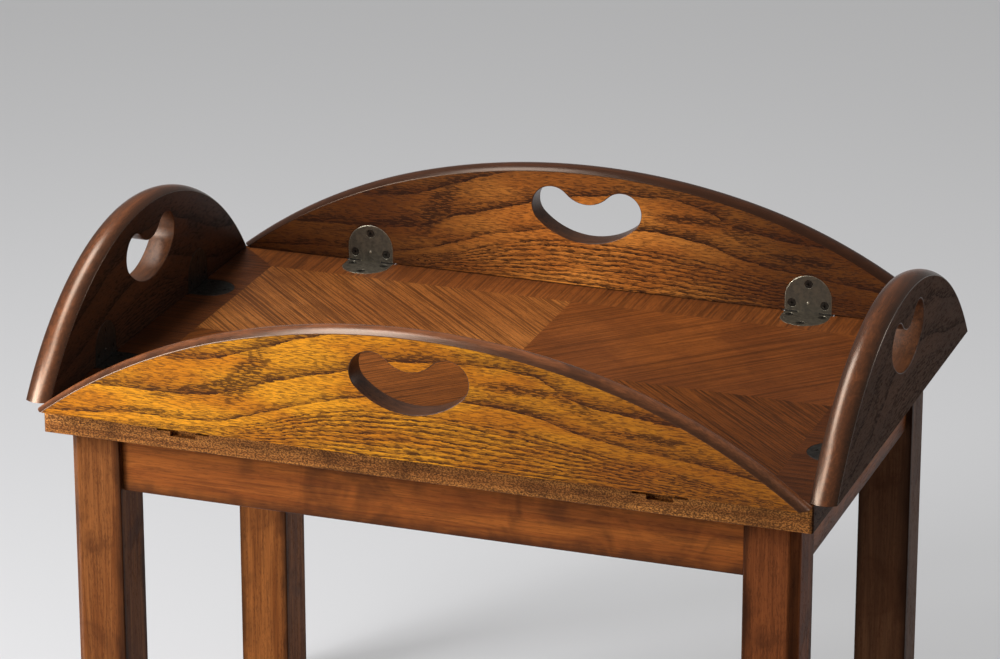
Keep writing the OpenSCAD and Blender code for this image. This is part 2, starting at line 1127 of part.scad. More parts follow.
board_core();
lipping_front();
lipping_back();
lipping_left();
lipping_right();
border_front();
border_back();
border_left();
border_right();
quarter_front_left();
quarter_front_right();
quarter_back_left();
quarter_back_right();
leg_front_left();
leg_front_right();
leg_back_left();
leg_back_right();
apron_front();
apron_back();
apron_left();
apron_right();
block_front_left();
block_front_right();
block_back_left();
block_back_right();
leg_bolts();
leg_washers();
leg_nuts();
apron_screws();
board_screws();
foot_glides();
board_plate_front_left();
board_plate_front_right();
board_plate_back_left();
board_plate_back_right();
board_plate_left_front();
board_plate_left_back();
board_plate_right_front();
board_plate_right_back();
leaf_plate_front_left();
leaf_plate_front_right();
leaf_plate_back_left();
leaf_plate_back_right();
leaf_plate_left_front();
leaf_plate_left_back();
leaf_plate_right_front();
leaf_plate_right_back();
hinge_pins();
catch_springs();
board_plate_screws();
leaf_screws_front();
leaf_screws_back();
leaf_screws_left();
leaf_screws_right();
leaf_front();
leaf_back();
leaf_left();
leaf_right();
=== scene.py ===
"""Dresses the oval coffee table: four oak leaves, a veneered board and a square frame.

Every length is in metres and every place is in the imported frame's own axes: +X to the right, +Y to the
back, +Z up. Sizes inside a finish are in millimetres, because grain and pores are easiest to read that way.
"""

import logging
import math
from dataclasses import dataclass, field
from enum import Enum

import bmesh
import bpy
from mathutils import Matrix, Vector
from mathutils.geometry import tessellate_polygon

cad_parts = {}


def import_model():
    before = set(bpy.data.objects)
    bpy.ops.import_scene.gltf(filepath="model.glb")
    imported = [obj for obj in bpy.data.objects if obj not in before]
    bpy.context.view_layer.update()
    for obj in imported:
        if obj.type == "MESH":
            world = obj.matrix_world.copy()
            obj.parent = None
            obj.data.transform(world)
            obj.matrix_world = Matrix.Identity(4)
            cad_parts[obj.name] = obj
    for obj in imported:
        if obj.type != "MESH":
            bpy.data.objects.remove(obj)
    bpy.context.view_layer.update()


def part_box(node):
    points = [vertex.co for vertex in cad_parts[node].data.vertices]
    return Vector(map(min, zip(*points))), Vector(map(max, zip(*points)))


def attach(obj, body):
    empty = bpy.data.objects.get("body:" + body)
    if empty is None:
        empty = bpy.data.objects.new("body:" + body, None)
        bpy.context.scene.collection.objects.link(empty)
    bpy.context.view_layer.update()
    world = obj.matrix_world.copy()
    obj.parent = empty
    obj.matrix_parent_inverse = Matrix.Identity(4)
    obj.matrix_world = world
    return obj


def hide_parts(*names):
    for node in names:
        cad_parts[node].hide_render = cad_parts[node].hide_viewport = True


log = logging.getLogger("coffee_table")

MM = 0.001
QUARTER_TURN = math.pi / 2
NOISE_ROUGHNESS = 0.55
LEAST_MITRE = 0.3
EDGE_SEGMENTS = 4
FLAT_FACES = 12
FACE, RIM, SHADED = range(3)

Point = tuple[float, float]
Triple = tuple[float, float, float]
Tone = tuple[int, int, int]
Socket = bpy.types.NodeSocket
Finish = bpy.types.Material
Piece = bpy.types.Object


class Side(Enum):
    """The sides of the board, numbered in quarter turns from the front."""

    FRONT = 0
    RIGHT = 1
    BACK = 2
    LEFT = 3

    @property
    def label(self) -> str:
        """The side's name as the nodes spell it."""
        return self.name.lower()

    @property
    def is_long(self) -> bool:
        """Whether the side is one of the board's two long ones."""
        return self in (Side.FRONT, Side.BACK)

    @property
    def hinge_ends(self) -> tuple[str, str]:
        """The names of the side's two hinges, first the one at the low end of the side's own x axis."""
        names = {
            Side.FRONT: ("left", "right"),
            Side.RIGHT: ("front", "back"),
            Side.BACK: ("right", "left"),
            Side.LEFT: ("back", "front"),
        }
        return names[self]


class Axis(Enum):
    """The axis that a piece's grain runs along."""

    X = 0
    Y = 1
    Z = 2


def linear(tone: Tone) -> tuple[float, float, float, float]:
    """Turns a colour as it is seen on a screen into the light values that a shader takes.

    Args:
        tone: Red, green and blue from 0 to 255.

    Returns:
        The same colour as linear red, green, blue and full alpha.
    """
    def channel(value: int) -> float:
        """The linear value of one channel, on the screen's standard curve."""
        share = value / 255
        return share / 12.92 if share <= 0.04045 else ((share + 0.055) / 1.055) ** 2.4

    return (*(channel(value) for value in tone), 1.0)


class Graph:
    """The nodes of one finish, added by calls that read like the finish they make."""

    def __init__(self, name: str) -> None:
        """Starts a finish with a bare shader.

        Args:
            name: The material's name.
        """
        self.material = bpy.data.materials.new(name)
        self.material.use_nodes = True
        self.tree = self.material.node_tree
        self.shader = self.tree.nodes["Principled BSDF"]

    def add(self, kind: str, **settings: object) -> bpy.types.Node:
        """Adds a node.

        Args:
            kind: The node's type.
            settings: Properties to set on it.

        Returns:
            The new node.
        """
        node = self.tree.nodes.new(kind)
        for key, value in settings.items():
            setattr(node, key, value)
        return node

    def feed(self, socket: Socket, value: object) -> None:
        """Gives a socket a link or a plain value.

        Args:
            socket: The input to feed.
            value: Another node's output, or a number, vector or colour.
        """
        if isinstance(value, bpy.types.NodeSocket):
            self.tree.links.new(value, socket)
        else:
            socket.default_value = value

    def calc(self, operation: str, *values: object, clamp: bool = False) -> Socket:
        """Adds a sum of one to three values.

        Args:
            operation: The name of the sum.
            values: The sockets or numbers that go into it.
            clamp: Whether the result stays between 0 and 1.

        Returns:
            The result.
        """
        node = self.add("ShaderNodeMath", operation=operation, use_clamp=clamp)
        for socket, value in zip(node.inputs, values):
            self.feed(socket, value)
        return node.outputs[0]

    def millimetres(self) -> Socket:
        """The piece's own coordinates in millimetres."""
        place = self.add("ShaderNodeTexCoord").outputs["Object"]
        return self.moved(place, scale=(1000, 1000, 1000))

    def moved(self, vector: Socket, scale: Triple = (1, 1, 1), turn: float = 0.0,
              shift: Triple = (0, 0, 0)) -> Socket:
        """Stretches a vector, turns it about the upright axis and then shifts it.

        Args:
            vector: The coordinates to change.
            scale: The factor along each axis.
            turn: The angle about the Z axis in radians.
            shift: What is added at the end.

        Returns:
            The changed coordinates.
        """
        node = self.add("ShaderNodeMapping", vector_type="POINT")
        self.feed(node.inputs["Vector"], vector)
        node.inputs["Scale"].default_value = scale
        node.inputs["Rotation"].default_value = (0, 0, turn)
        node.inputs["Location"].default_value = shift
        return node.outputs[0]

    def parts(self, vector: Socket) -> tuple[Socket, Socket, Socket]:
        """Takes a vector apart.

        Args:
            vector: The vector.

        Returns:
            Its x, y and z.
        """
        node = self.add("ShaderNodeSeparateXYZ")
        self.feed(node.inputs[0], vector)
        return node.outputs[0], node.outputs[1], node.outputs[2]

    def joined(self, x: object, y: object, z: object) -> Socket:
        """Makes a vector of three values.

        Args:
            x: The first value, as a socket or a number.
            y: The second value.
            z: The third value.

        Returns:
            The vector.
        """
        node = self.add("ShaderNodeCombineXYZ")
        for socket, value in zip(node.inputs, (x, y, z)):
            self.feed(socket, value)
        return node.outputs[0]

    def noise(self, vector: Socket, grain: Triple, detail: float = 2.0, wander: float = 0.0,
              seed: float = 0.0) -> Socket:
        """A cloud of soft noise.

        Args:
            vector: The coordinates in millimetres.
            grain: The size of a blotch along each axis in millimetres.
            detail: How many finer layers it has.
            wander: How far the blotches are pushed about.
            seed: A shift that makes one cloud unlike another.

        Returns:
            A value that lies mostly between 0.25 and 0.75.
        """
        scale = tuple(1 / size for size in grain)
        node = self.add("ShaderNodeTexNoise", noise_dimensions="3D")
        shift = (seed, seed * 1.7, seed * 0.6)
        self.feed(node.inputs["Vector"], self.moved(vector, scale=scale, shift=shift))
        node.inputs["Scale"].default_value = 1.0
        node.inputs["Detail"].default_value = detail
        node.inputs["Roughness"].default_value = NOISE_ROUGHNESS
        node.inputs["Distortion"].default_value = wander
        return node.outputs[0]

    def step(self, value: Socket, low: float, high: float, start: float = 0.0, end: float = 1.0) -> Socket:
        """A smooth step from one value to another.

        Args:
            value: What is stepped.
            low: Where the step begins.
            high: Where it is complete.
            start: The result up to low.
            end: The result from high on.

        Returns:
            The stepped value.
        """
        node = self.add("ShaderNodeMapRange", interpolation_type="SMOOTHSTEP")
        for socket, number in zip(node.inputs, (value, low, high, start, end)):
            self.feed(socket, number)
        return node.outputs[0]

    def mixed(self, share: object, first: object, second: object) -> Socket:
        """Mixes two colours.

        Args:
            share: How much of the second one there is, from 0 to 1.
            first: The first colour, as a tone or an output.
            second: The second colour, as a tone or an output.

        Returns:
            The mixed colour.
        """
        node = self.add("ShaderNodeMix", data_type="RGBA")
        self.feed(node.inputs[0], share)
        for socket, colour in ((node.inputs[6], first), (node.inputs[7], second)):
            self.feed(socket, linear(colour) if isinstance(colour, tuple) else colour)
        return node.outputs[2]

    def dented(self, height: Socket, depth: float, strength: float = 1.0) -> None:
        """Lets a height field bend the light on the surface.

        Args:
            height: The field.
            depth: What a height of 1 stands for, in metres.
            strength: How much of it shows.
        """
        node = self.add("ShaderNodeBump")
        node.inputs["Strength"].default_value = strength
        node.inputs["Distance"].default_value = depth
        self.feed(node.inputs["Height"], height)
        self.feed(self.shader.inputs["Normal"], node.outputs[0])

    def line(self, place: Socket, points: tuple[Point, ...], half: float, tall: float) -> Socket:
        """The height of a drawn line at a place along a leaf.

        Args:
            place: The distance from the leaf's middle in millimetres.
            points: The line's points from the left end to the right one, as distance and height.
            half: Half the leaf's length.
            tall: The leaf's height.

        Returns:
            The line's height in millimetres.
        """
        node = self.add("ShaderNodeFloatCurve")
        curve = node.mapping.curves[0]
        while len(curve.points) < len(points):
            curve.points.new(0.5, 0.5)
        for dot, (x, z) in zip(curve.points, points):
            dot.location = ((x + half) / (2 * half), z / tall)
        node.mapping.update()
        share = self.calc("DIVIDE", self.calc("ADD", place, half), 2 * half, clamp=True)
        self.feed(node.inputs["Value"], share)
        return self.calc("MULTIPLY", node.outputs[0], tall)

    def finish(self, colour: object, roughness: object, metal: float = 0.0, gloss: float = 0.5,
               shine: Tone = (255, 255, 255)) -> Finish:
        """Feeds the shader and ends the graph.

        Args:
            colour: The surface's colour.
            roughness: Its roughness.
            metal: How metallic it is.
            gloss: How strongly its varnish mirrors, where 0.5 is common for glass.
            shine: The tint of what it mirrors.

        Returns:
            The finished material.
        """
        inputs = self.shader.inputs
        self.feed(inputs["Base Color"], linear(colour) if isinstance(colour, tuple) else colour)
        self.feed(inputs["Roughness"], roughness)
        inputs["Metallic"].default_value = metal
        inputs["Specular IOR Level"].default_value = gloss
        inputs["Specular Tint"].default_value = linear(shine)
        return self.material


@dataclass(frozen=True)
class StainedOak:
    """Straight-grained oak under a stain and a varnish, optionally darker along its long edges, which on the
    leaves' crowned edges and the aprons' top edges is painted shade.
    """

    name: str
    light: Tone
    deep: Tone
    pore: Tone
    grain: Axis = Axis.X
    roughness: float = 0.42
    gloss: float = 0.12
    streak: float = 14.0
    pore_length: float = 9.0
    pore_share: float = 0.7
    pore_depth: float = 0.00018
    relief: float = 1.0
    shine: Tone = (255, 236, 220)
    stipple: float = 0.0
    glaze: Tone | None = None
    glaze_half: tuple[float, float] = (24.5, 24.5)
    glaze_width: float = 6.0
    glaze_wander: float = 16.0
    shift: Triple = (0, 0, 0)

    def make(self) -> Finish:
        """Builds the finish.

        Returns:
            The material.
        """
        g = Graph(self.name)
        own = g.moved(g.millimetres(), shift=self.shift)
        parts = g.parts(own)
        order = {Axis.X: (0, 1, 2), Axis.Y: (1, 0, 2), Axis.Z: (2, 0, 1)}[self.grain]
        along = g.joined(*(parts[index] for index in order))
        streaks = g.noise(along, (260, self.streak, self.streak), detail=3, wander=0.6)
        fibres = g.noise(along, (45, 1.9, 1.9), detail=4, seed=3.1)
        dashes = g.noise(along, (self.pore_length, 1.1, 1.1), detail=2, seed=7.7)
        gathered = g.noise(along, (70, 5, 5), detail=2, seed=5.3)
        threshold = g.calc("MULTIPLY_ADD", g.calc("SUBTRACT", gathered, 0.5), 0.45, dashes)
        pores = g.step(threshold, 0.54, 0.64)
        blotch = g.noise(own, (55, 55, 55), detail=3, wander=0.8, seed=9.2)
        colour = g.mixed(g.step(streaks, 0.34, 0.66), self.light, self.deep)
        colour = g.mixed(g.step(blotch, 0.48, 0.72, 0.0, 0.6), colour, self.pore)
        colour = g.mixed(g.step(fibres, 0.4, 0.66, 0.0, 0.4), colour, self.pore)
        colour = g.mixed(g.calc("MULTIPLY", pores, self.pore_share), colour, self.pore)
        if self.stipple:
            dots = g.noise(own, (1.8, 1.8, 1.2), detail=1, wander=0.3, seed=6.4)
            colour = g.mixed(g.step(dots, 0.44, 0.56, 0.0, self.stipple), colour, self.pore)
        # Darker towards the long edges: on the crowned leaf edges this is painted shade of a rounder section,
        # on the aprons' top edges painted shade under the board.
        if self.glaze is not None:
            first, second = parts[order[1]], parts[order[2]]
            colour = g.mixed(self.edge_share(g, first, second, own), colour, self.glaze)
        height = g.calc("SUBTRACT", g.calc("MULTIPLY", fibres, 0.3), pores)
        g.dented(height, self.pore_depth, 0.5 * self.relief)
        rough = g.step(pores, 0, 1, self.roughness, self.roughness + 0.18 * self.relief)
        return g.finish(colour, rough, gloss=self.gloss, shine=self.shine)

    def edge_share(self, g: Graph, first: Socket, second: Socket, own: Socket) -> Socket:
        """How much darkening lies at a place, most of it close to the piece's long edges, where on some
        pieces it is painted shade.

        Args:
            g: The finish's graph.
            first: The first distance from the piece's middle line.
            second: The second distance from it.
            own: The piece's own coordinates.

        Returns:
            The share of darkening, from 0 to 1.
        """
        depths = []
        for value, half in zip((first, second), self.glaze_half):
            depths.append(g.calc("SUBTRACT", half, g.calc("ABSOLUTE", value)))
        inner = g.calc("MAXIMUM", *depths)
        cloud = g.calc("SUBTRACT", g.noise(own, (22, 22, 60), detail=2, seed=2.4), 0.5)
        ragged = g.calc("MULTIPLY", cloud, self.glaze_wander)
        return g.step(g.calc("ADD", inner, ragged), 0.0, self.glaze_width, 0.8, 0.0)


@dataclass(frozen=True)
class Patch:
    """A slanting stroke of crowded dark pores, in millimetres from the leaf's middle and hinge edge."""

    x: float
    z: float
    long: float
    tall: float
    slope: float = 0.0
    share: float = 1.0


@dataclass(frozen=True)
class Figure:
    """The drawing of the growth rings on a leaf's face.

    The outermost arch of the middle figure and the one wide ring above it are drawn lines. Between them
    and outside them the rings are spread evenly.
    """

    arch: tuple[Point, ...]
    ring: tuple[Point, ...]
    patches: tuple[Patch, ...]
    half: float
    tall: float
    arches: float = 9.0
    upper_space: float = 34.0
    drift: float = 8.0
    ragged: float = 3.2
    least_arch: float = 3.0
    least_space: float = 4.0


@dataclass(frozen=True)
class FiguredOak:
    """Flat-sawn oak whose growth rings come to the face as nested arches, each drawn by short dark pores."""

    name: str
    light: Tone
    warm: Tone
    line: Tone
    end: Tone
    figure: Figure
    mirrored: bool = False
    left_shade: float = 0.6
    right_shade: float = 0.6
    top_shade: float = 0.0
    shade_reach: float = 0.85
    roughness: float = 0.42
    gloss: float = 0.12
    pore_depth: float = 0.0002
    seed: float = 0.0

    def make(self) -> Finish:
        """Builds the finish.

        Returns:
            The material.
        """
        g = Graph(self.name)
        own = g.millimetres()
        if self.mirrored:
            own = g.moved(own, scale=(-1, 1, 1))
        x, _, z = g.parts(own)
        band, crowd = self.rings(g, own, x, z)
        dashes = g.noise(own, (7.0, 2.0, 1.1), detail=3, seed=self.seed + 1.3)
        pores = g.step(g.calc("MULTIPLY_ADD", crowd, 0.14, dashes), 0.55, 0.59)
        fibres = g.noise(own, (9, 2.0, 0.9), detail=3, seed=self.seed + 8.1)
        cloud = g.noise(own, (110, 60, 26), detail=2, seed=self.seed + 6.6)
        colour = g.mixed(g.step(cloud, 0.36, 0.64), self.light, self.warm)
        half, tall = self.figure.half, self.figure.tall
        # Darker towards each end and the top by the given shares: on the front outer face the darker right
        # end is painted shade, and on the back inner face the darker ends and top are partly painted shade.
        for sign, share in ((-1, self.left_shade), (1, self.right_shade)):
            outward = g.calc("MULTIPLY", x, sign)
            shade = g.step(outward, half * -0.1, half * self.shade_reach, 0.0, share)
            colour = g.mixed(shade, colour, self.end)
        if self.top_shade:
            rise = g.step(z, tall * 0.6, tall, 0.0, self.top_shade)
            colour = g.mixed(rise, colour, self.end)
        colour = g.mixed(g.step(fibres, 0.42, 0.6, 0.0, 0.42), colour, self.line)
        drawn = g.calc("MAXIMUM", g.calc("MULTIPLY", band, 0.9), g.calc("MULTIPLY", crowd, 0.42))
        colour = g.mixed(drawn, colour, self.line)
        dark = tuple(int(value * 0.6) for value in self.line)
        colour = g.mixed(g.calc("MULTIPLY", pores, g.calc("MULTIPLY_ADD", crowd, 0.4, 0.5)), colour, dark)
        rough_spots = g.calc("MAXIMUM", pores, g.calc("MULTIPLY", band, 0.5))
        height = g.calc("MULTIPLY_ADD", fibres, 0.3, g.calc("MULTIPLY", rough_spots, -1.0))
        g.dented(height, self.pore_depth, 0.5)
        rough = g.step(pores, 0, 1, self.roughness, self.roughness + 0.16)
        return g.finish(colour, rough, gloss=self.gloss)

    def rings(self, g: Graph, own: Socket, x: Socket, z: Socket) -> tuple[Socket, Socket]:
        """The dark early wood of each growth ring.

        Args:
            g: The finish's graph.
            own: The leaf's own coordinates.
            x: The distance from the leaf's middle.
            z: The height on the leaf.

        Returns:
            The rings' bands alone, and the bands together with the crowded patches, both from 0 to 1.
        """
        drawn = self.figure
        drift = g.calc("SUBTRACT", g.noise(own, (60, 40, 20), detail=2, seed=self.seed + 2.2), 0.5)
        ragged = g.calc("SUBTRACT", g.noise(own, (8, 5, 1.4), detail=2, seed=self.seed + 3.3), 0.5)
        drifted = g.calc("MULTIPLY_ADD", drift, drawn.drift, z)
        bent = g.calc("MULTIPLY_ADD", ragged, drawn.ragged, drifted)
        arch = g.line(x, drawn.arch, drawn.half, drawn.tall)
        ring = g.line(x, drawn.ring, drawn.half, drawn.tall)
        inside = g.calc("DIVIDE", bent, g.calc("MAXIMUM", arch, drawn.least_arch))
        space = g.calc("MAXIMUM", g.calc("SUBTRACT", ring, arch), drawn.least_space)
        between = g.calc("DIVIDE", g.calc("SUBTRACT", bent, arch), space)
        above = g.calc("DIVIDE", g.calc("SUBTRACT", bent, ring), drawn.upper_space)
        low = g.calc("MULTIPLY", g.calc("MINIMUM", inside, 1.0), drawn.arches)
        middle = g.calc("MAXIMUM", g.calc("MINIMUM", between, 1.0), 0.0)
        count = g.calc("ADD", g.calc("ADD", low, middle), g.calc("MAXIMUM", above, 0.0))
        phase = g.calc("FRACT", g.calc("ADD", count, 0.5))
        width = g.step(inside, 0.9, 1.3, 1.5, 3.6)
        band = g.calc("POWER", g.calc("SUBTRACT", 1.0, phase), width)
        faded = g.noise(own, (50, 40, 12), detail=2, seed=self.seed + 4.4)
        band = g.calc("MULTIPLY", band, g.step(faded, 0.3, 0.6, 0.65, 1.0))
        crowd: Socket = band
        for patch in drawn.patches:
            crowd = g.calc("MAXIMUM", crowd, self.stroke(g, patch, x, bent))
        return band, crowd

    def stroke(self, g: Graph, patch: Patch, x: Socket, z: Socket) -> Socket:
        """How much a patch crowds the pores at a place.

        Args:
            g: The finish's graph.
            patch: The patch.
            x: The distance from the leaf's middle.
            z: The height on the leaf.

        Returns:
            The share of crowding, from 0 to 1.
        """
        away = g.calc("SUBTRACT", x, patch.x)
        across = g.calc("POWER", g.calc("DIVIDE", away, patch.long), 2.0)
        rise = g.calc("SUBTRACT", g.calc("SUBTRACT", z, patch.z), g.calc("MULTIPLY", away, patch.slope))
        upward = g.calc("POWER", g.calc("DIVIDE", rise, patch.tall), 2.0)
        return g.step(g.calc("ADD", across, upward), 0.1, 1.3, patch.share, 0.0)


@dataclass(frozen=True)
class Veneer:
    """Thin sliced veneer with straight stripes that run at an angle to the board's edges."""

    name: str
    light: Tone
    deep: Tone
    pore: Tone
    turn: float
    stripe: float = 1.6
    stripe_share: float = 0.7
    mottle: float = 0.4
    roughness: float = 0.36
    gloss: float = 0.1
    pore_depth: float = 0.00012
    seed: float = 0.0

    def make(self) -> Finish:
        """Builds the finish.

        Returns:
            The material.
        """
        g = Graph(self.name)
        own = g.millimetres()
        along = g.moved(own, turn=-self.turn)
        stripes = g.noise(along, (300, self.stripe, 40), detail=1, wander=0.1, seed=self.seed)
        fine = g.noise(along, (60, self.stripe * 0.5, 20), detail=2, seed=self.seed + 1.9)
        dashes = g.noise(along, (7.5, 0.55, 3), detail=1, seed=self.seed + 5.2)
        pores = g.step(dashes, 0.57, 0.64)
        mottles = g.noise(along, (38, 90, 50), detail=2, wander=0.4, seed=self.seed + 3.7)
        glow = g.noise(own, (160, 160, 60), detail=1, seed=self.seed + 8.3)
        colour = g.mixed(g.step(glow, 0.3, 0.7), self.light, self.deep)
        colour = g.mixed(g.step(mottles, 0.35, 0.7, 0.0, self.mottle), colour, self.deep)
        colour = g.mixed(g.step(stripes, 0.52, 0.6, 0.0, self.stripe_share), colour, self.pore)
        colour = g.mixed(g.step(fine, 0.48, 0.6, 0.0, self.stripe_share), colour, self.pore)
        colour = g.mixed(g.calc("MULTIPLY", pores, 0.5), colour, self.pore)
        g.dented(g.calc("SUBTRACT", g.calc("MULTIPLY", fine, 0.4), pores), self.pore_depth, 0.4)
        rough = g.step(mottles, 0.3, 0.7, self.roughness, self.roughness + 0.1)
        return g.finish(colour, rough, gloss=self.gloss)


@dataclass(frozen=True)
class WornMetal:
    """Metal with a mottled patina."""

    name: str
    light: Tone
    deep: Tone
    roughness: float = 0.42
    metal: float = 0.85
    blotch: float = 5.0
    pit_depth: float = 0.00009

    def make(self) -> Finish:
        """Builds the finish.

        Returns:
            The material.
        """
        g = Graph(self.name)
        own = g.millimetres()
        patina = g.noise(own, (self.blotch,) * 3, detail=3, wander=0.5)
        specks = g.noise(own, (0.7, 0.7, 0.7), detail=1, seed=4.1)
        scratches = g.noise(own, (9, 0.3, 3), detail=1, seed=2.6)
        colour = g.mixed(g.step(patina, 0.3, 0.7), self.light, self.deep)
        colour = g.mixed(g.step(scratches, 0.6, 0.72, 0.0, 0.4), colour, self.light)
        height = g.calc("ADD", g.calc("MULTIPLY", patina, 0.6), g.calc("MULTIPLY", specks, 0.4))
        g.dented(height, self.pit_depth, 0.5)
        rough = g.step(patina, 0.3, 0.7, self.roughness - 0.08, self.roughness + 0.1)
        return g.finish(colour, rough, metal=self.metal)


@dataclass(frozen=True)
class MouldedPlastic:
    """Dull moulded plastic with a fine bloom."""

    name: str
    light: Tone
    deep: Tone
    bloom_depth: float = 0.0001

    def make(self) -> Finish:
        """Builds the finish.

        Returns:
            The material.
        """
        g = Graph(self.name)
        bloom = g.noise(g.millimetres(), (3, 3, 3), detail=3)
        colour = g.mixed(g.step(bloom, 0.3, 0.7), self.light, self.deep)
        g.dented(bloom, self.bloom_depth, 0.4)
        return g.finish(colour, g.step(bloom, 0.3, 0.7, 0.45, 0.6))


def arc(centre: Point, radius: float, start: float, end: float, steps: int) -> list[Point]:
    """Points along an arc.

    Args:
        centre: The arc's centre.
        radius: Its radius.
        start: The first angle in radians, from the x axis.
        end: The last angle.
        steps: How many equal steps lie between them.

    Returns:
        The points, one more than the steps.
    """
    angles = (start + (end - start) * index / steps for index in range(steps + 1))
    return [(centre[0] + radius * math.cos(a), centre[1] + radius * math.sin(a)) for a in angles]


def drawn_in(outline: list[Point], distance: float) -> list[Point]:
    """Draws a closed outline in by a small distance.

    Args:
        outline: The points, anticlockwise.
        distance: How far it is drawn in.

    Returns:
        As many points, each moved along its corner's middle line.
    """
    moved = []
    for index, here in enumerate(outline):
        before = Vector(outline[index - 1])
        after = Vector(outline[(index + 1) % len(outline)])
        into = (Vector(here) - before).normalized()
        out = (after - Vector(here)).normalized()
        normal = Vector((-into.y - out.y, into.x + out.x)).normalized()
        reach = distance / max(LEAST_MITRE, normal.dot(Vector((-into.y, into.x))))
        moved.append((here[0] + normal.x * reach, here[1] + normal.y * reach))
    return moved


class Shell:
    """Gathers the points and faces of one piece and then makes its mesh."""

    def __init__(self) -> None:
        """Starts an empty shell."""
        self.points: list[Vector] = []
        self.faces: list[tuple[tuple[int, ...], int, bool]] = []

    def loop(self, points: list[Vector]) -> list[int]:
        """Adds points.

        Args:
            points: The points.

        Returns:
            Their numbers.
        """
        start = len(self.points)
        self.points.extend(points)
        return list(range(start, start + len(points)))

    def strip(self, first: list[int], second: list[int], finish: int, closed: bool = False) -> None:
        """Joins two rows of points with a smooth strip of faces.

        Args:
            first: The numbers of one row's points.
            second: The numbers of the other row's points.
            finish: The finish's place in the piece's list.
            closed: Whether the rows close on themselves.
        """
        count = len(first)
        for index in range(count if closed else count - 1):
            after = (index + 1) % count
            self.faces.append(((first[index], first[after], second[after], second[index]), finish, True))

    def skin(self, rows: list[list[int]], finishes: list[int], closed: bool = False) -> None:
        """Joins each row of points to the next one.

        Args:
            rows: The numbers of each row's points.
            finishes: The finish of the strip after each row.
            closed: Whether the rows close on themselves.
        """
        for first, second, finish in zip(rows, rows[1:], finishes):
            self.strip(first, second, finish, closed)

    def cap(self, loops: list[list[int]], finish: int) -> None:
        """Fills a flat face, whose first loop is its outline and whose other loops are holes in it.

        Args:
            loops: The numbers of each loop's points.
            finish: The finish's place in the piece's list.
        """
        numbers = [number for loop in loops for number in loop]
        for corners in tessellate_polygon([[self.points[number] for number in loop] for loop in loops]):
            self.faces.append((tuple(numbers[corner] for corner in corners), finish, False))

    def turned(self, profile: list[Point], origin: Vector, axis: Vector, finishes: list[int],
               steps: int = 32) -> None:
        """Turns a profile round an axis into a solid.

        Args:
            profile: Pairs of the distance along the axis and the radius. Where both ends reach the axis the
                solid is full there, and otherwise the profile closes on itself as a ring.
            origin: The point on the axis from which distances are measured.
            axis: The axis, of length 1.
            finishes: The finish of the face after each point of the profile.
            steps: How many faces go round.
        """
        side = axis.orthogonal().normalized()
        up = axis.cross(side)
        rings = []
        for distance, radius in profile:
            middle = origin + axis * distance
            if radius == 0:
                rings.append(self.loop([middle]))
                continue
            angles = (index * math.tau / steps for index in range(steps))
            spokes = (side * math.cos(a) + up * math.sin(a) for a in angles)
            rings.append(self.loop([middle + spoke * radius for spoke in spokes]))
        full = profile[0][1] == 0
        pairs = list(zip(rings, rings[1:])) + ([] if full else [(rings[-1], rings[0])])
        for (first, second), finish in zip(pairs, finishes):
            if len(first) == 1 or len(second) == 1:
                tip, ring = (first[0], second) if len(first) == 1 else (second[0], first)
                for index, number in enumerate(ring):
                    self.faces.append(((tip, number, ring[(index + 1) % len(ring)]), finish, True))
            else:
                self.strip(first, second, finish, closed=True)

    def build(self, name: str, finishes: list[Finish], place: Matrix, crease: float = 32.0) -> Piece:
        """Makes the piece.

        Args:
            name: The piece's name.
            finishes: Its finishes, in the order in which the faces number them.
            place: Where its own axes stand in the frame.
            crease: The angle in degrees from which an edge between smooth faces shows as an edge.

        Returns:
            The new object.
        """
        shape = bmesh.new()
        points = [shape.verts.new(point) for point in self.points]
        for numbers, finish, smooth in self.faces:
            face = shape.faces.new([points[number] for number in numbers])
            face.material_index = finish
            face.smooth = smooth
        bmesh.ops.recalc_face_normals(shape, faces=shape.faces)
        for edge in shape.edges:
            edge.smooth = edge.calc_face_angle(0.0) < math.radians(crease)
        return placed(shape, name, finishes, place)


def placed(shape: bmesh.types.BMesh, name: str, finishes: list[Finish], place: Matrix) -> Piece:
    """Turns a shape into a piece of the scene and frees the shape.

    Args:
        shape: The shape.
        name: The piece's name.
        finishes: Its finishes, in the order in which the faces number them.
        place: Where its own axes stand in the frame.

    Returns:
        The new object.
    """
    mesh = bpy.data.meshes.new(name)
    shape.to_mesh(mesh)
    shape.free()
    for finish in finishes:
        mesh.materials.append(finish)
    piece = bpy.data.objects.new(name, mesh)
    bpy.context.scene.collection.objects.link(piece)
    piece.matrix_world = place
    return piece


def seated(piece: Piece, body: str, slot: str, *nodes: str) -> Piece:
    """Lets a piece ride on its body and stand for its nodes.

    Args:
        piece: The piece.
        body: The body it moves with.
        slot: The record's name for its finish. Not used.
        nodes: The nodes it stands for.

    Returns:
        The piece.
    """
    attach(piece, body)
    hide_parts(*nodes)
    log.info("%s rides on %s: %d faces", piece.name, body, len(piece.data.polygons))
    return piece


def rounded_prism(outline: list[Point], low: float, high: float, radius: float,
                  open_top: bool) -> bmesh.types.BMesh:
    """Raises a prism and rounds its edges.

    Args:
        outline: The plan, anticlockwise.
        low: The height of its bottom.
        high: The height of its top.
        radius: The radius of its edges.
        open_top: Whether the edges round the top stay sharp, because another piece lies on it.

    Returns:
        The prism's shape, to be freed by the caller.
    """
    shape = bmesh.new()
    rows = [[shape.verts.new((x, y, z)) for x, y in outline] for z in (low, high)]
    shape.faces.new(reversed(rows[0]))
    shape.faces.new(rows[1])
    count = len(outline)
    for index in range(count):
        after = (index + 1) % count
        shape.faces.new((rows[0][index], rows[0][after], rows[1][after], rows[1][index]))
    edges = [e for e in shape.edges if not (open_top and all(v in rows[1] for v in e.verts))]
    bmesh.ops.bevel(shape, geom=edges, offset=radius, segments=EDGE_SEGMENTS, profile=0.5, affect="EDGES",
                    clamp_overlap=True)
    return shape


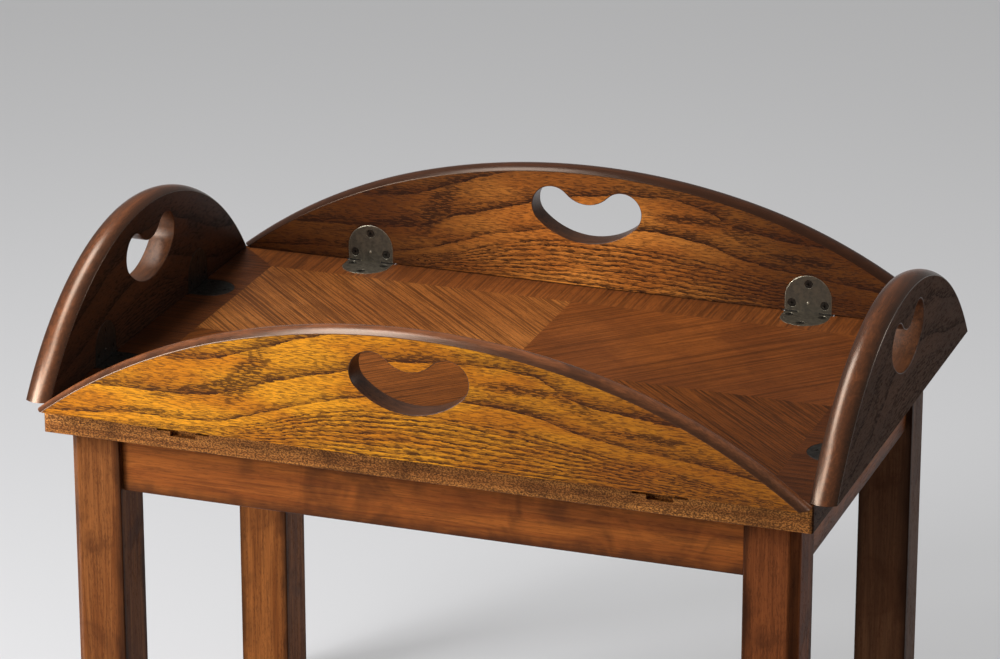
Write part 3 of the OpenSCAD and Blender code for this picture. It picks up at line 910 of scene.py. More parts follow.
def piece_of(shape: bmesh.types.BMesh, name: str, finish: Finish, place: Matrix) -> Piece:
    """Makes a smooth-edged piece of a shape, whose widest faces stay flat, and frees the shape.

    Args:
        shape: The shape.
        name: The piece's name.
        finish: Its finish.
        place: Where its own axes stand in the frame.

    Returns:
        The new object.
    """
    bmesh.ops.recalc_face_normals(shape, faces=shape.faces)
    widest = sorted(shape.faces, key=lambda f: f.calc_area())[-FLAT_FACES:]
    for face in shape.faces:
        face.smooth = face not in widest
    return placed(shape, name, [finish], place)


def dress(finish: Finish, *nodes: str) -> None:
    """Gives nodes of the frame a finish.

    Args:
        finish: The finish.
        nodes: The nodes' names.
    """
    for name in nodes:
        mesh = bpy.data.objects[name].data
        mesh.materials.clear()
        mesh.materials.append(finish)
        log.info("%s wears %s", name, finish.name)


@dataclass(frozen=True)
class BoardPlan:
    """The board's main sizes, read from the frame."""

    half_width: float
    half_depth: float
    top: float
    leaf_inset: float
    leaf_gap: float
    leaf_thickness: float

    @classmethod
    def read(cls) -> "BoardPlan":
        """Reads the sizes from the nodes' boxes.

        Returns:
            The plan.
        """
        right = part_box("lipping_right")[1]
        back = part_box("lipping_back")[1]
        quarter_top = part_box("quarter_back_left")[1].z
        leaf_low, leaf_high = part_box("leaf_front")
        return cls(
            half_width=right.x,
            half_depth=back.y,
            top=quarter_top,
            leaf_inset=leaf_high.y + back.y,
            leaf_gap=leaf_low.z - quarter_top,
            leaf_thickness=leaf_high.y - leaf_low.y,
        )

    def run(self, side: Side) -> float:
        """Half the length of a side."""
        return self.half_width if side.is_long else self.half_depth

    def hinge_place(self, side: Side) -> float:
        """Reads how far a side's hinges lie from its middle from the box of one of its board plates.

        Args:
            side: The side.

        Returns:
            The distance along the side.
        """
        low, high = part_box(f"board_plate_{side.label}_{side.hinge_ends[0]}")
        middle = (low + high) / 2
        return abs(middle.x if side.is_long else middle.y)

    def place(self, side: Side) -> Matrix:
        """Finds the axes of a side: x along its edge, y inwards from it and z up from the board's top.

        Args:
            side: The side.

        Returns:
            Where the axes stand in the frame.
        """
        reach = self.half_depth if side.is_long else self.half_width
        turn = Matrix.Rotation(side.value * QUARTER_TURN, 4, "Z")
        return turn @ Matrix.Translation((0, -reach, self.top))


@dataclass(frozen=True)
class PlateSizes:
    """The sizes of a hinge's two plates and their screws."""

    width: float = 46 * MM
    length: float = 36 * MM
    thickness: float = 2 * MM
    tongue_width: float = 20 * MM
    tongue_gap: float = 0.3 * MM
    knuckle_room: float = 0.4 * MM
    knuckle_radius: float = 2.4 * MM
    pin_radius: float = 1.2 * MM
    fit: float = 0.12 * MM
    rim: float = 0.4 * MM
    screw_side: float = 16 * MM
    screw_near: float = 7.6 * MM
    screw_far: float = 27.5 * MM
    head_radius: float = 4 * MM
    head_gap: float = 0.16 * MM
    shank_radius: float = 2 * MM
    rivet_place: float = 8.5 * MM
    rivet_radius: float = 1.6 * MM
    rivet_rise: float = 0.4 * MM
    knuckle_ease: float = 0.25 * MM
    lip_room: float = 1.8 * MM
    lip_gap: float = 0.25 * MM
    round_steps: int = 40
    hole_steps: int = 36
    rivet_steps: int = 24

    @property
    def straight(self) -> float:
        """How far a plate runs before its round end begins."""
        return self.length - self.width / 2

    def outline(self, grown: float, foot: list[Point]) -> list[Point]:
        """A plate's outline, anticlockwise, with the seam on y = 0.

        Args:
            grown: How much wider than the plate the outline is.
            foot: The points along the seam, from left to right.

        Returns:
            The points.
        """
        radius = self.width / 2 + grown
        return foot + arc((0, self.straight), radius, 0, math.pi, self.round_steps)

    @property
    def screws(self) -> tuple[Point, Point, Point]:
        """The places of the plate's three screws."""
        return (-self.screw_side, self.screw_near), (self.screw_side, self.screw_near), (0, self.screw_far)


@dataclass
class Leaf:
    """A leaf that stands up from one side of the board, with its crowned edge, hand hole and pockets."""

    side: Side
    board: BoardPlan
    plate: PlateSizes
    faces: dict[str, Finish]
    edge_crown: float = 4 * MM
    arris: float = 1.2 * MM
    hole_arris: float = 0.7 * MM
    hole_reach: float = 35 * MM
    hole_end_radius: float = 19.5 * MM
    hole_height: float = 76.5 * MM
    hole_belly: float = 14 * MM
    hole_dip: float = 15 * MM
    bend_steps: int = 5
    crown_steps: int = 14
    hole_bend_steps: int = 4
    hole_end_steps: int = 22
    hole_dip_steps: int = 12
    hole_belly_steps: int = 26
    finish_order: tuple[str, ...] = ("outer", "inner", "edge", "hole", "hidden")

    def arch(self, inset: float) -> list[Point]:
        """The leaf's arch, drawn in from its edge.

        Args:
            inset: How far it is drawn in.

        Returns:
            Pairs of the distance along the side and the height, from the low end of the side's x axis.
        """
        raise NotImplementedError

    @property
    def edge_radius(self) -> float:
        """The radius of the crowned edge's section."""
        half = self.board.leaf_thickness / 2
        return (half ** 2 + self.edge_crown ** 2) / (2 * self.edge_crown)

    def section(self) -> list[Point]:
        """The crowned edge's section with its two rounded arrises.

        Returns:
            Pairs of the depth from the inner face and the inset from the edge, from the inner face outwards.
        """
        half, small, large = self.board.leaf_thickness / 2, self.arris, self.edge_radius
        seat = math.asin((half - small) / (large - small))
        drop = large - math.sqrt((large - small) ** 2 - (half - small) ** 2)
        steps = self.bend_steps
        bend = [seat + (QUARTER_TURN - seat) * index / steps for index in range(steps + 1)]
        inner = [(small - small * math.sin(a), drop - small * math.cos(a)) for a in reversed(bend)]
        crown = [-seat + 2 * seat * index / self.crown_steps for index in range(1, self.crown_steps)]
        middle = [(half + large * math.sin(a), large - large * math.cos(a)) for a in crown]
        outer = [(2 * half - depth, inset) for depth, inset in reversed(inner)]
        return inner + middle + outer

    def hole(self, grown: float) -> list[Point]:
        """The hand hole's outline: two round ends, a belly below and a dip above.

        Args:
            grown: How much wider than the hole the outline is.

        Returns:
            The points, anticlockwise.
        """
        reach, ends, middle = self.hole_reach, self.hole_end_radius, self.hole_height
        square = reach ** 2 - ends ** 2
        belly = (square + (ends + self.hole_belly) ** 2) / (2 * self.hole_belly)
        belly_z = middle - ends - self.hole_belly + belly
        dip = (square + (ends - self.hole_dip) ** 2) / (2 * self.hole_dip)
        dip_z = middle + ends - self.hole_dip + dip
        low = math.atan2(middle - belly_z, reach)
        high = math.atan2(dip_z - middle, -reach)
        radius = ends + grown
        right = arc((reach, middle), radius, low, high, self.hole_end_steps)
        top = arc((0, dip_z), dip - grown, high - math.pi, -high, self.hole_dip_steps)
        left = arc((-reach, middle), radius, math.pi - high, math.pi - low, self.hole_end_steps)
        bottom = arc((0, belly_z), belly + grown, math.pi - low - math.tau, low, self.hole_belly_steps)
        return right[:-1] + top[:-1] + left[:-1] + bottom[:-1]

    def hole_section(self) -> list[Point]:
        """The section of the hand hole's wall with its two rounded arrises.

        Returns:
            Pairs of the depth from the inner face and how much wider the hole is there.
        """
        small, steps, thick = self.hole_arris, self.hole_bend_steps, self.board.leaf_thickness
        bends = [QUARTER_TURN * index / steps for index in range(steps + 1)]
        near = [(small - small * math.sin(a), small - small * math.cos(a)) for a in reversed(bends)]
        return near + [(thick / 2, 0.0)] + [(thick - depth, grown) for depth, grown in reversed(near)]

    def row(self, shell: Shell, depth: float, outline: list[Point]) -> list[int]:
        """Adds an outline at a depth below the leaf's inner face.

        Args:
            shell: The leaf's shell.
            depth: The depth.
            outline: Pairs of the distance along the side and the height on the leaf.

        Returns:
            The numbers of the new points.
        """
        face, foot = self.board.leaf_inset, self.board.leaf_gap
        return shell.loop([Vector((x, face - depth, foot + z)) for x, z in outline])

    def pocket(self, end: int) -> list[Point]:
        """Draws one hinge's pocket, open at the hinge edge.

        Args:
            end: The end of the leaf, -1 for the low one and 1 for the high one.

        Returns:
            The outline's points, from the pocket's high end to its low end.
        """
        centre = end * self.board.hinge_place(self.side)
        half = self.plate.width / 2 + self.plate.fit
        round_end = self.plate.outline(self.plate.fit, [(half, 0)])
        return [(centre + x, y) for x, y in round_end + [(-half, 0)]]

    def make(self) -> Piece:
        """Builds the leaf's mesh and seats it on its body.

        Returns:
            The leaf.
        """
        shell = Shell()
        outer, inner, edge, hole, hidden = range(len(self.finish_order))
        rings = [self.row(shell, depth, self.arch(inset)) for depth, inset in self.section()]
        shell.skin(rings, [edge] * len(rings))
        holes = [self.row(shell, depth, self.hole(grown)) for depth, grown in self.hole_section()]
        shell.skin(holes, [hole] * len(holes), closed=True)
        floor = self.plate.thickness + self.plate.fit
        inner_edge: list[int] = []
        bottom_edge: list[int] = []
        for end in (1, -1):
            outline = self.pocket(end)
            rim = self.row(shell, 0, outline)
            sunk = self.row(shell, floor, outline)
            shell.strip(rim, sunk, hidden)
            shell.cap([sunk], hidden)
            inner_edge += rim
            bottom_edge += [rim[0], sunk[0], sunk[-1], rim[-1]]
        shell.cap([rings[0] + inner_edge, holes[0]], inner)
        shell.cap([rings[-1], holes[-1]], outer)
        low_end = [ring[0] for ring in rings]
        high_end = [ring[-1] for ring in reversed(rings)]
        shell.cap([low_end + high_end + bottom_edge], hidden)
        finishes = [self.faces[name] for name in self.finish_order]
        piece = shell.build(f"leaf_{self.side.label}_oak", finishes, self.board.place(self.side))
        return seated(piece, f"{self.side.label}_leaf", "leaf_wood", f"leaf_{self.side.label}")


@dataclass
class ShortLeaf(Leaf):
    """A leaf at the left or right, whose arch is a single arc."""

    height: float = 119.5 * MM
    trim: float = 1 * MM
    arch_steps: int = 96

    def arch(self, inset: float) -> list[Point]:
        """The leaf's arch, drawn in from its edge.

        Args:
            inset: How far it is drawn in.

        Returns:
            Pairs of the distance along the side and the height.
        """
        half = self.board.run(self.side) - self.trim
        radius = (half ** 2 + self.height ** 2) / (2 * self.height)
        centre = self.height - radius
        end = math.asin(-centre / (radius - inset))
        return arc((0, centre), radius - inset, math.pi - end, end, self.arch_steps)


@dataclass
class LongLeaf(Leaf):
    """A leaf at the front or back, whose arch is a wide arc with a tighter one running on from each end."""

    height: float = 116 * MM
    crown_ratio: float = 1.08
    crown_half_angle: float = math.radians(15)
    wide_steps: int = 60
    tight_steps: int = 44

    def arch(self, inset: float) -> list[Point]:
        """The leaf's arch, drawn in from its edge.

        Args:
            inset: How far it is drawn in.

        Returns:
            Pairs of the distance along the side and the height.
        """
        half, tall, lean = self.board.run(self.side), self.height, self.crown_half_angle
        wide = self.crown_ratio * (half ** 2 + tall ** 2) / (2 * tall)
        rise = half ** 2 + tall ** 2 - 2 * tall * wide
        shift = rise / (2 * (half * math.sin(lean) + (wide - tall) * math.cos(lean) - wide))
        tight = wide - shift
        centre_x = shift * math.sin(lean)
        centre_z = tall - wide + shift * math.cos(lean)
        end = math.asin(-centre_z / (tight - inset))
        joint = QUARTER_TURN - lean
        low = arc((-centre_x, centre_z), tight - inset, math.pi - end, math.pi - joint, self.tight_steps)
        middle = arc((0, tall - wide), wide - inset, math.pi - joint, joint, self.wide_steps)
        high = arc((centre_x, centre_z), tight - inset, joint, end, self.tight_steps)
        return low + middle[1:-1] + high


@dataclass
class Hinge:
    """One hinge: a plate let into the board and a plate let into the leaf, joined on a pin under the seam.

    Its metals are the plates' faces, their rims and the parts in the seam's shade, in this order.
    """

    side: Side
    end: int
    board: BoardPlan
    plate: PlateSizes
    metals: list[Finish]

    @property
    def name(self) -> str:
        """The hinge's name as the nodes spell it."""
        return f"{self.side.label}_{self.side.hinge_ends[0 if self.end < 0 else 1]}"

    @property
    def axis_in(self) -> float:
        """How far the pin lies in from the board's edge and below its top."""
        return self.board.leaf_inset / 2

    def knuckle(self, shell: Shell, start: float, end: float) -> None:
        """Adds a knuckle round the pin.

        Args:
            shell: The plate's shell.
            start: Where it begins along the pin.
            end: Where it ends.
        """
        p, ease = self.plate, self.plate.knuckle_ease
        bore = p.pin_radius + p.fit / 2
        profile = [
            (start, bore), (start, p.knuckle_radius - ease), (start + ease, p.knuckle_radius),
            (end - ease, p.knuckle_radius), (end, p.knuckle_radius - ease), (end, bore),
        ]
        pin = Vector((0, self.axis_in, -self.axis_in))
        shell.turned(profile, pin, Vector((1, 0, 0)), [SHADED] * len(profile))

    def sheet(self, shell: Shell, outline: list[Point], origin: Vector, up: Vector, out: Vector) -> None:
        """Adds the flat of a plate with its worn rim, whose bright finish is partly painted highlight, and
        countersunk holes.

        Args:
            shell: The plate's shell.
            outline: The plate's outline, anticlockwise as seen on its face.
            origin: The middle of the seam on the plate's face.
            up: The direction from the seam over the plate.
            out: The direction out of its face.
        """
        p = self.plate

        def row(points: list[Point], depth: float) -> list[int]:
            """Adds a loop at a depth below the plate's face."""
            return shell.loop([origin + Vector((x, 0, 0)) + up * y - out * depth for x, y in points])

        outer = [row(drawn_in(outline, p.rim), 0), row(drawn_in(outline, p.rim * 0.3), p.rim * 0.3),
                 row(outline, p.rim), row(outline, p.thickness)]
        shell.skin(outer, [RIM, RIM, FACE], closed=True)
        tops, bottoms = [outer[0]], [outer[-1]]
        mouth = p.head_radius + p.head_gap
        cone = p.head_radius - p.shank_radius
        steps = ((mouth + p.rim / 2, 0.0), (mouth, p.rim / 2), (p.shank_radius + p.head_gap, cone))
        for centre in p.screws:
            rings = []
            for radius, depth in steps:
                circle = arc(centre, radius, 0, math.tau, p.hole_steps)[:-1]
                rings.append(row(circle, min(depth, p.thickness)))
            shell.skin(rings, [RIM, FACE], closed=True)
            tops.append(rings[0])
            bottoms.append(rings[-1])
        shell.cap(tops, FACE)
        shell.cap(bottoms, FACE)

    def make(self) -> None:
        """Builds both plates."""
        self.make_board_plate()
        self.make_leaf_plate()

    def make_board_plate(self) -> None:
        """Builds the plate that is let into the board, notched in the middle for the other plate's tongue."""
        p = self.plate
        half, notch = p.width / 2 - p.fit, p.tongue_width / 2 + p.tongue_gap
        foot, depth = self.axis_in - self.board.leaf_inset, p.knuckle_room
        edge = [(-half, foot), (-notch, foot), (-notch, depth), (notch, depth), (notch, foot), (half, foot)]
        shell = Shell()
        origin = Vector((0, self.board.leaf_inset, 0))
        self.sheet(shell, p.outline(-p.fit, edge), origin, Vector((0, 1, 0)), Vector((0, 0, 1)))
        self.knuckle(shell, -p.width / 2, -notch)
        self.knuckle(shell, notch, p.width / 2)
        piece = shell.build(f"board_plate_{self.name}_metal", self.metals, self.where())
        seated(piece, "table", "hinge_metal", f"board_plate_{self.name}")

    def make_leaf_plate(self) -> None:
        """Builds the plate that is let into the leaf, with its tongue, knuckle and rivet."""
        p = self.plate
        half, tongue = p.width / 2 - p.fit, p.tongue_width / 2
        foot = -self.axis_in - self.board.leaf_gap
        edge = [(-half, 0), (-tongue, 0), (-tongue, foot), (tongue, foot), (tongue, 0), (half, 0)]
        shell = Shell()
        origin = Vector((0, self.board.leaf_inset, self.board.leaf_gap))
        up, out = Vector((0, 0, 1)), Vector((0, 1, 0))
        mirrored = [(-x, y) for x, y in reversed(p.outline(-p.fit, edge))]
        self.sheet(shell, mirrored, origin, up, out)
        self.knuckle(shell, -tongue, tongue)
        self.lip(shell)
        rise, radius = p.rivet_rise, p.rivet_radius
        dome = [(-p.thickness / 2, 0.0), (-p.thickness / 2, radius), (0.0, radius),
                (rise * 0.6, radius * 0.8), (rise * 0.93, radius * 0.45), (rise, 0.0)]
        shell.turned(dome, origin + up * p.rivet_place, out, [FACE, FACE, FACE, RIM, RIM], p.rivet_steps)
        piece = shell.build(f"leaf_plate_{self.name}_metal", self.metals, self.where())
        seated(piece, f"{self.side.label}_leaf", "hinge_metal", f"leaf_plate_{self.name}")

    def lip(self, shell: Shell) -> None:
        """Adds the thin lip under the leaf that keeps light out of the seam over the trench.

        Args:
            shell: The leaf plate's shell.
        """
        p = self.plate
        reach = p.width / 2 + p.lip_room
        front, back = self.board.leaf_inset - p.thickness, self.board.leaf_inset - p.fit
        rows = []
        for z in (p.lip_gap, self.board.leaf_gap):
            corners = ((-reach, front), (reach, front), (reach, back), (-reach, back))
            rows.append(shell.loop([Vector((x, y, z)) for x, y in corners]))
        shell.skin(rows, [SHADED], closed=True)
        for row in rows:
            shell.cap([row], SHADED)

    def where(self) -> Matrix:
        """The hinge's own axes, with x = 0 in the middle of its plates."""
        along = self.end * self.board.hinge_place(self.side)
        return self.board.place(self.side) @ Matrix.Translation((along, 0, 0))


@dataclass
class Legs:
    """The four square legs with a chamfered outer corner."""

    chamfer: float = 8.3 * MM
    arris: float = 1.4 * MM
    # The right-hand legs, most of all back_right, are painted darker than the left-hand ones: painted shade
    # of light falling off to the right and back.
    tones: dict[str, tuple[Tone, Tone]] = field(default_factory=lambda: {
        "front_left": ((152, 94, 50), (116, 66, 33)),
        "back_left": ((152, 92, 46), (118, 67, 32)),
        "front_right": ((140, 78, 42), (112, 61, 32)),
        "back_right": ((110, 74, 50), (90, 60, 41)),
    })

    def make(self) -> None:
        """Builds each leg about its own middle line."""
        for along, x_sign in (("left", -1), ("right", 1)):
            for across, y_sign in (("front", -1), ("back", 1)):
                self.make_leg(f"leg_{across}_{along}", x_sign, y_sign)

    def wood(self, node: str) -> Finish:
        """Makes the finish of one leg.

        Args:
            node: The leg's node.

        Returns:
            The finish.
        """
        light, deep = self.tones[node.removeprefix("leg_")]
        oak = StainedOak(f"{node}_oak", light, deep, (72, 39, 23), grain=Axis.Z, streak=9, gloss=0.05,
                         pore_length=5, pore_share=0.35, glaze=(46, 27, 18), glaze_width=10)
        return oak.make()

    def make_leg(self, node: str, x_sign: int, y_sign: int) -> None:
        """Builds one leg.

        Args:
            node: The leg's node.
            x_sign: Which way the leg's outer corner lies along X.
            y_sign: Which way it lies along Y.
        """
        low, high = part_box(node)
        middle = (low + high) / 2
        half = (high.x - low.x) / 2
        cut = half - self.chamfer
        corners = [(half, cut), (cut, half), (-half, half), (-half, -half), (half, -half)]
        outline = [(x * x_sign, y * y_sign) for x, y in corners]
        if x_sign * y_sign < 0:
            outline.reverse()
        shape = rounded_prism(outline, low.z, high.z, self.arris, open_top=True)
        piece = piece_of(shape, f"{node}_piece", self.wood(node), Matrix.Translation((middle.x, middle.y, 0)))
        seated(piece, "table", "leg_wood", node)


@dataclass
class Aprons:
    """The four rails under the board, tenoned into the legs."""

    arris: float = 1.8 * MM
    shoulder: float = 8 * MM
    tenon_thickness: float = 10 * MM

    def make(self) -> None:
        """Builds the apron of each side."""
        # Darker along the long edges; along the top edges this is painted shade under the board.
        oak = StainedOak("apron_oak", (168, 95, 40), (138, 73, 31), (66, 36, 20), streak=12,
                         glaze=(62, 34, 21), glaze_half=(10.0, 28.0), glaze_width=15, pore_share=0.25)
        wood = oak.make()
        for side in Side:
            self.make_apron(side, wood)

    def make_apron(self, side: Side, wood: Finish) -> None:
        """Builds one apron in its side's axes.

        Args:
            side: The apron's side.
            wood: Its finish.
        """
        node = f"apron_{side.label}"
        low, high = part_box(node)
        leg_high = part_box("leg_front_left")[1]
        inner = -leg_high.x if side.is_long else -leg_high.y
        whole = (high.x - low.x) / 2 if side.is_long else (high.y - low.y) / 2
        thick = (high.y - low.y) if side.is_long else (high.x - low.x)
        tall = high.z - low.z
        middle = (low + high) / 2
        place = Matrix.Translation(middle) @ Matrix.Rotation(side.value * QUARTER_TURN, 4, "Z")
        section = [(x * thick / 2, y * tall / 2) for x, y in ((-1, -1), (1, -1), (1, 1), (-1, 1))]
        shape = rounded_prism(section, -inner, inner, self.arris, open_top=False)
        self.add_tenons(shape, inner, whole, tall)
        upright = Matrix(((0, 0, 1), (1, 0, 0), (0, 1, 0))).to_4x4()
        bmesh.ops.transform(shape, matrix=upright, verts=shape.verts)
        piece = piece_of(shape, f"{node}_oak", wood, place)
        seated(piece, "table", "apron_wood", node)

    def add_tenons(self, shape: bmesh.types.BMesh, inner: float, whole: float, tall: float) -> None:
        """Adds the tenon at each end, before the apron is laid along its side.

        Args:
            shape: The apron's shape, standing on end.
            inner: Half the length between the legs.
            whole: Half the length over the tenons.
            tall: The apron's height.
        """
        size = (self.tenon_thickness, tall - 2 * self.shoulder, whole - inner)
        for end in (-1, 1):
            place = Matrix.Translation((0, 0, end * (inner + whole) / 2)) @ Matrix.Diagonal((*size, 1))
            bmesh.ops.create_cube(shape, size=1.0, matrix=place)


@dataclass(frozen=True)
class Softbox:
    """A soft lamp of the studio."""

    name: str
    place: Triple
    aim: Triple
    size: tuple[float, float]
    power: float

    def make(self) -> None:
        """Hangs the lamp."""
        lamp = bpy.data.lights.new(self.name, "AREA")
        lamp.shape = "RECTANGLE"
        lamp.size, lamp.size_y = self.size
        lamp.energy = self.power
        hung = bpy.data.objects.new(self.name, lamp)
        hung.location = self.place
        hung.rotation_euler = (Vector(self.aim) - Vector(self.place)).to_track_quat("-Z", "Y").to_euler()
        bpy.context.scene.collection.objects.link(hung)


@dataclass
class Studio:
    """A plain pale floor, soft lamps and the camera."""

    floor_reach: float = 30.0
    floor_tone: Tone = (172, 172, 174)
    floor_blotch: float = 900.0
    floor_glow: float = 0.3
    room_light: float = 0.14
    lens: float = 159.86
    sensor_width: float = 36.0
    clip_end: float = 200.0
    azimuth: float = math.radians(19.59)
    elevation: float = math.radians(20.11)
    roll: float = math.radians(-0.041)
    camera_place: Triple = (1.2620, -3.5636, 1.8644)
    lamps: tuple[Softbox, ...] = (
        Softbox("front_left_lamp", (-1.45, -1.25, 1.15), (0.0, -0.1, 0.4), (0.7, 1.3), 45),
        Softbox("upper_left_lamp", (-1.0, -1.3, 2.3), (0.0, 0.1, 0.45), (0.7, 1.2), 19),
        Softbox("overhead_lamp", (-1.0, 0.15, 2.4), (0.0, 0.1, 0.45), (1.6, 0.6), 23),
        Softbox("right_back_lamp", (1.7, 1.3, 1.25), (0.0, 0.0, 0.5), (0.3, 0.9), 5),
    )

    def make(self) -> None:
        """Sets the studio up."""
        self.make_camera()
        self.make_floor()
        self.make_room()
        for lamp in self.lamps:
            lamp.make()

    def make_camera(self) -> None:
        """Stands the camera where the photograph was taken."""
        camera = bpy.data.cameras.new("camera")
        camera.lens = self.lens
        camera.sensor_width = self.sensor_width
        camera.clip_end = self.clip_end
        stand = bpy.data.objects.new("camera", camera)
        turn, rise = self.azimuth, self.elevation
        back = Vector((math.sin(turn) * math.cos(rise), -math.cos(turn) * math.cos(rise), math.sin(rise)))
        level = Vector((math.cos(turn), math.sin(turn), 0))
        upright = back.cross(level)
        right = level * math.cos(self.roll) + upright * math.sin(self.roll)
        top = upright * math.cos(self.roll) - level * math.sin(self.roll)
        axes = Matrix((right, top, back)).transposed().to_4x4()
        stand.matrix_world = Matrix.Translation(self.camera_place) @ axes
        bpy.context.scene.collection.objects.link(stand)
        bpy.context.scene.camera = stand

    def make_floor(self) -> None:
        """Lays the floor."""
        g = Graph("floor_paint")
        blotch = g.noise(g.millimetres(), (self.floor_blotch,) * 3, detail=1)
        pale = tuple(value - 3 for value in self.floor_tone)
        path = g.add("ShaderNodeLightPath").outputs
        seen = g.calc("MAXIMUM", path["Is Camera Ray"], path["Is Glossy Ray"])
        inputs = g.shader.inputs
        inputs["Emission Color"].default_value = (1, 1, 1, 1)
        g.feed(inputs["Emission Strength"], g.calc("MULTIPLY", seen, self.floor_glow))
        finish = g.finish(g.mixed(blotch, self.floor_tone, pale), 0.7, gloss=0.1)
        mesh = bpy.data.meshes.new("floor")
        reach = self.floor_reach
        corners = [(-reach, -reach, 0), (reach, -reach, 0), (reach, reach, 0), (-reach, reach, 0)]
        mesh.from_pydata(corners, [], [(0, 1, 2, 3)])
        mesh.materials.append(finish)
        floor = bpy.data.objects.new("floor", mesh)
        bpy.context.scene.collection.objects.link(floor)

    def make_room(self) -> None:
        """Lights the room evenly."""
        world = bpy.data.worlds.new("studio")
        world.use_nodes = True
        bpy.context.scene.world = world
        room = world.node_tree.nodes["Background"]
        room.inputs["Color"].default_value = (1, 1, 1, 1)
        room.inputs["Strength"].default_value = self.room_light


LONG_FIGURE = Figure(
    arch=((-355, 0), (-230, 5), (-190, 9), (-135, 20), (-85, 35), (-35, 44), (22, 46), (90, 42), (160, 32),
          (250, 19), (355, 5)),
    ring=((-355, 8), (-280, 18), (-200, 20), (-130, 40), (-75, 56), (0, 74), (70, 79), (115, 74), (150, 58),
          (200, 50), (266, 45), (355, 20)),
    patches=(
        Patch(-150, 62, 26, 22, 0.9, 0.75), Patch(-190, 45, 58, 6, 0.28, 0.8),
        Patch(-195, 76, 34, 4, 0.25, 0.6), Patch(104, 79, 44, 6, 0.0, 0.8),
        Patch(152, 70, 30, 10, -0.5, 0.5), Patch(215, 50, 45, 5, -0.05, 0.8),
        Patch(60, 102, 70, 3, -0.05, 0.4), Patch(-250, 16, 60, 4, 0.05, 0.6),
    ),
    half=355,
    tall=116,
)
SHORT_FIGURE = Figure(
    arch=((-231, 0), (-120, 6), (-60, 26), (-10, 36), (60, 32), (130, 18), (231, 3)),
    ring=((-231, 12), (-150, 28), (-90, 55), (-20, 76), (60, 72), (120, 52), (231, 20)),
    patches=(Patch(-100, 62, 24, 14, 0.8, 0.6), Patch(80, 84, 34, 6, -0.1, 0.7)),
    half=231,
    tall=119.5,
)


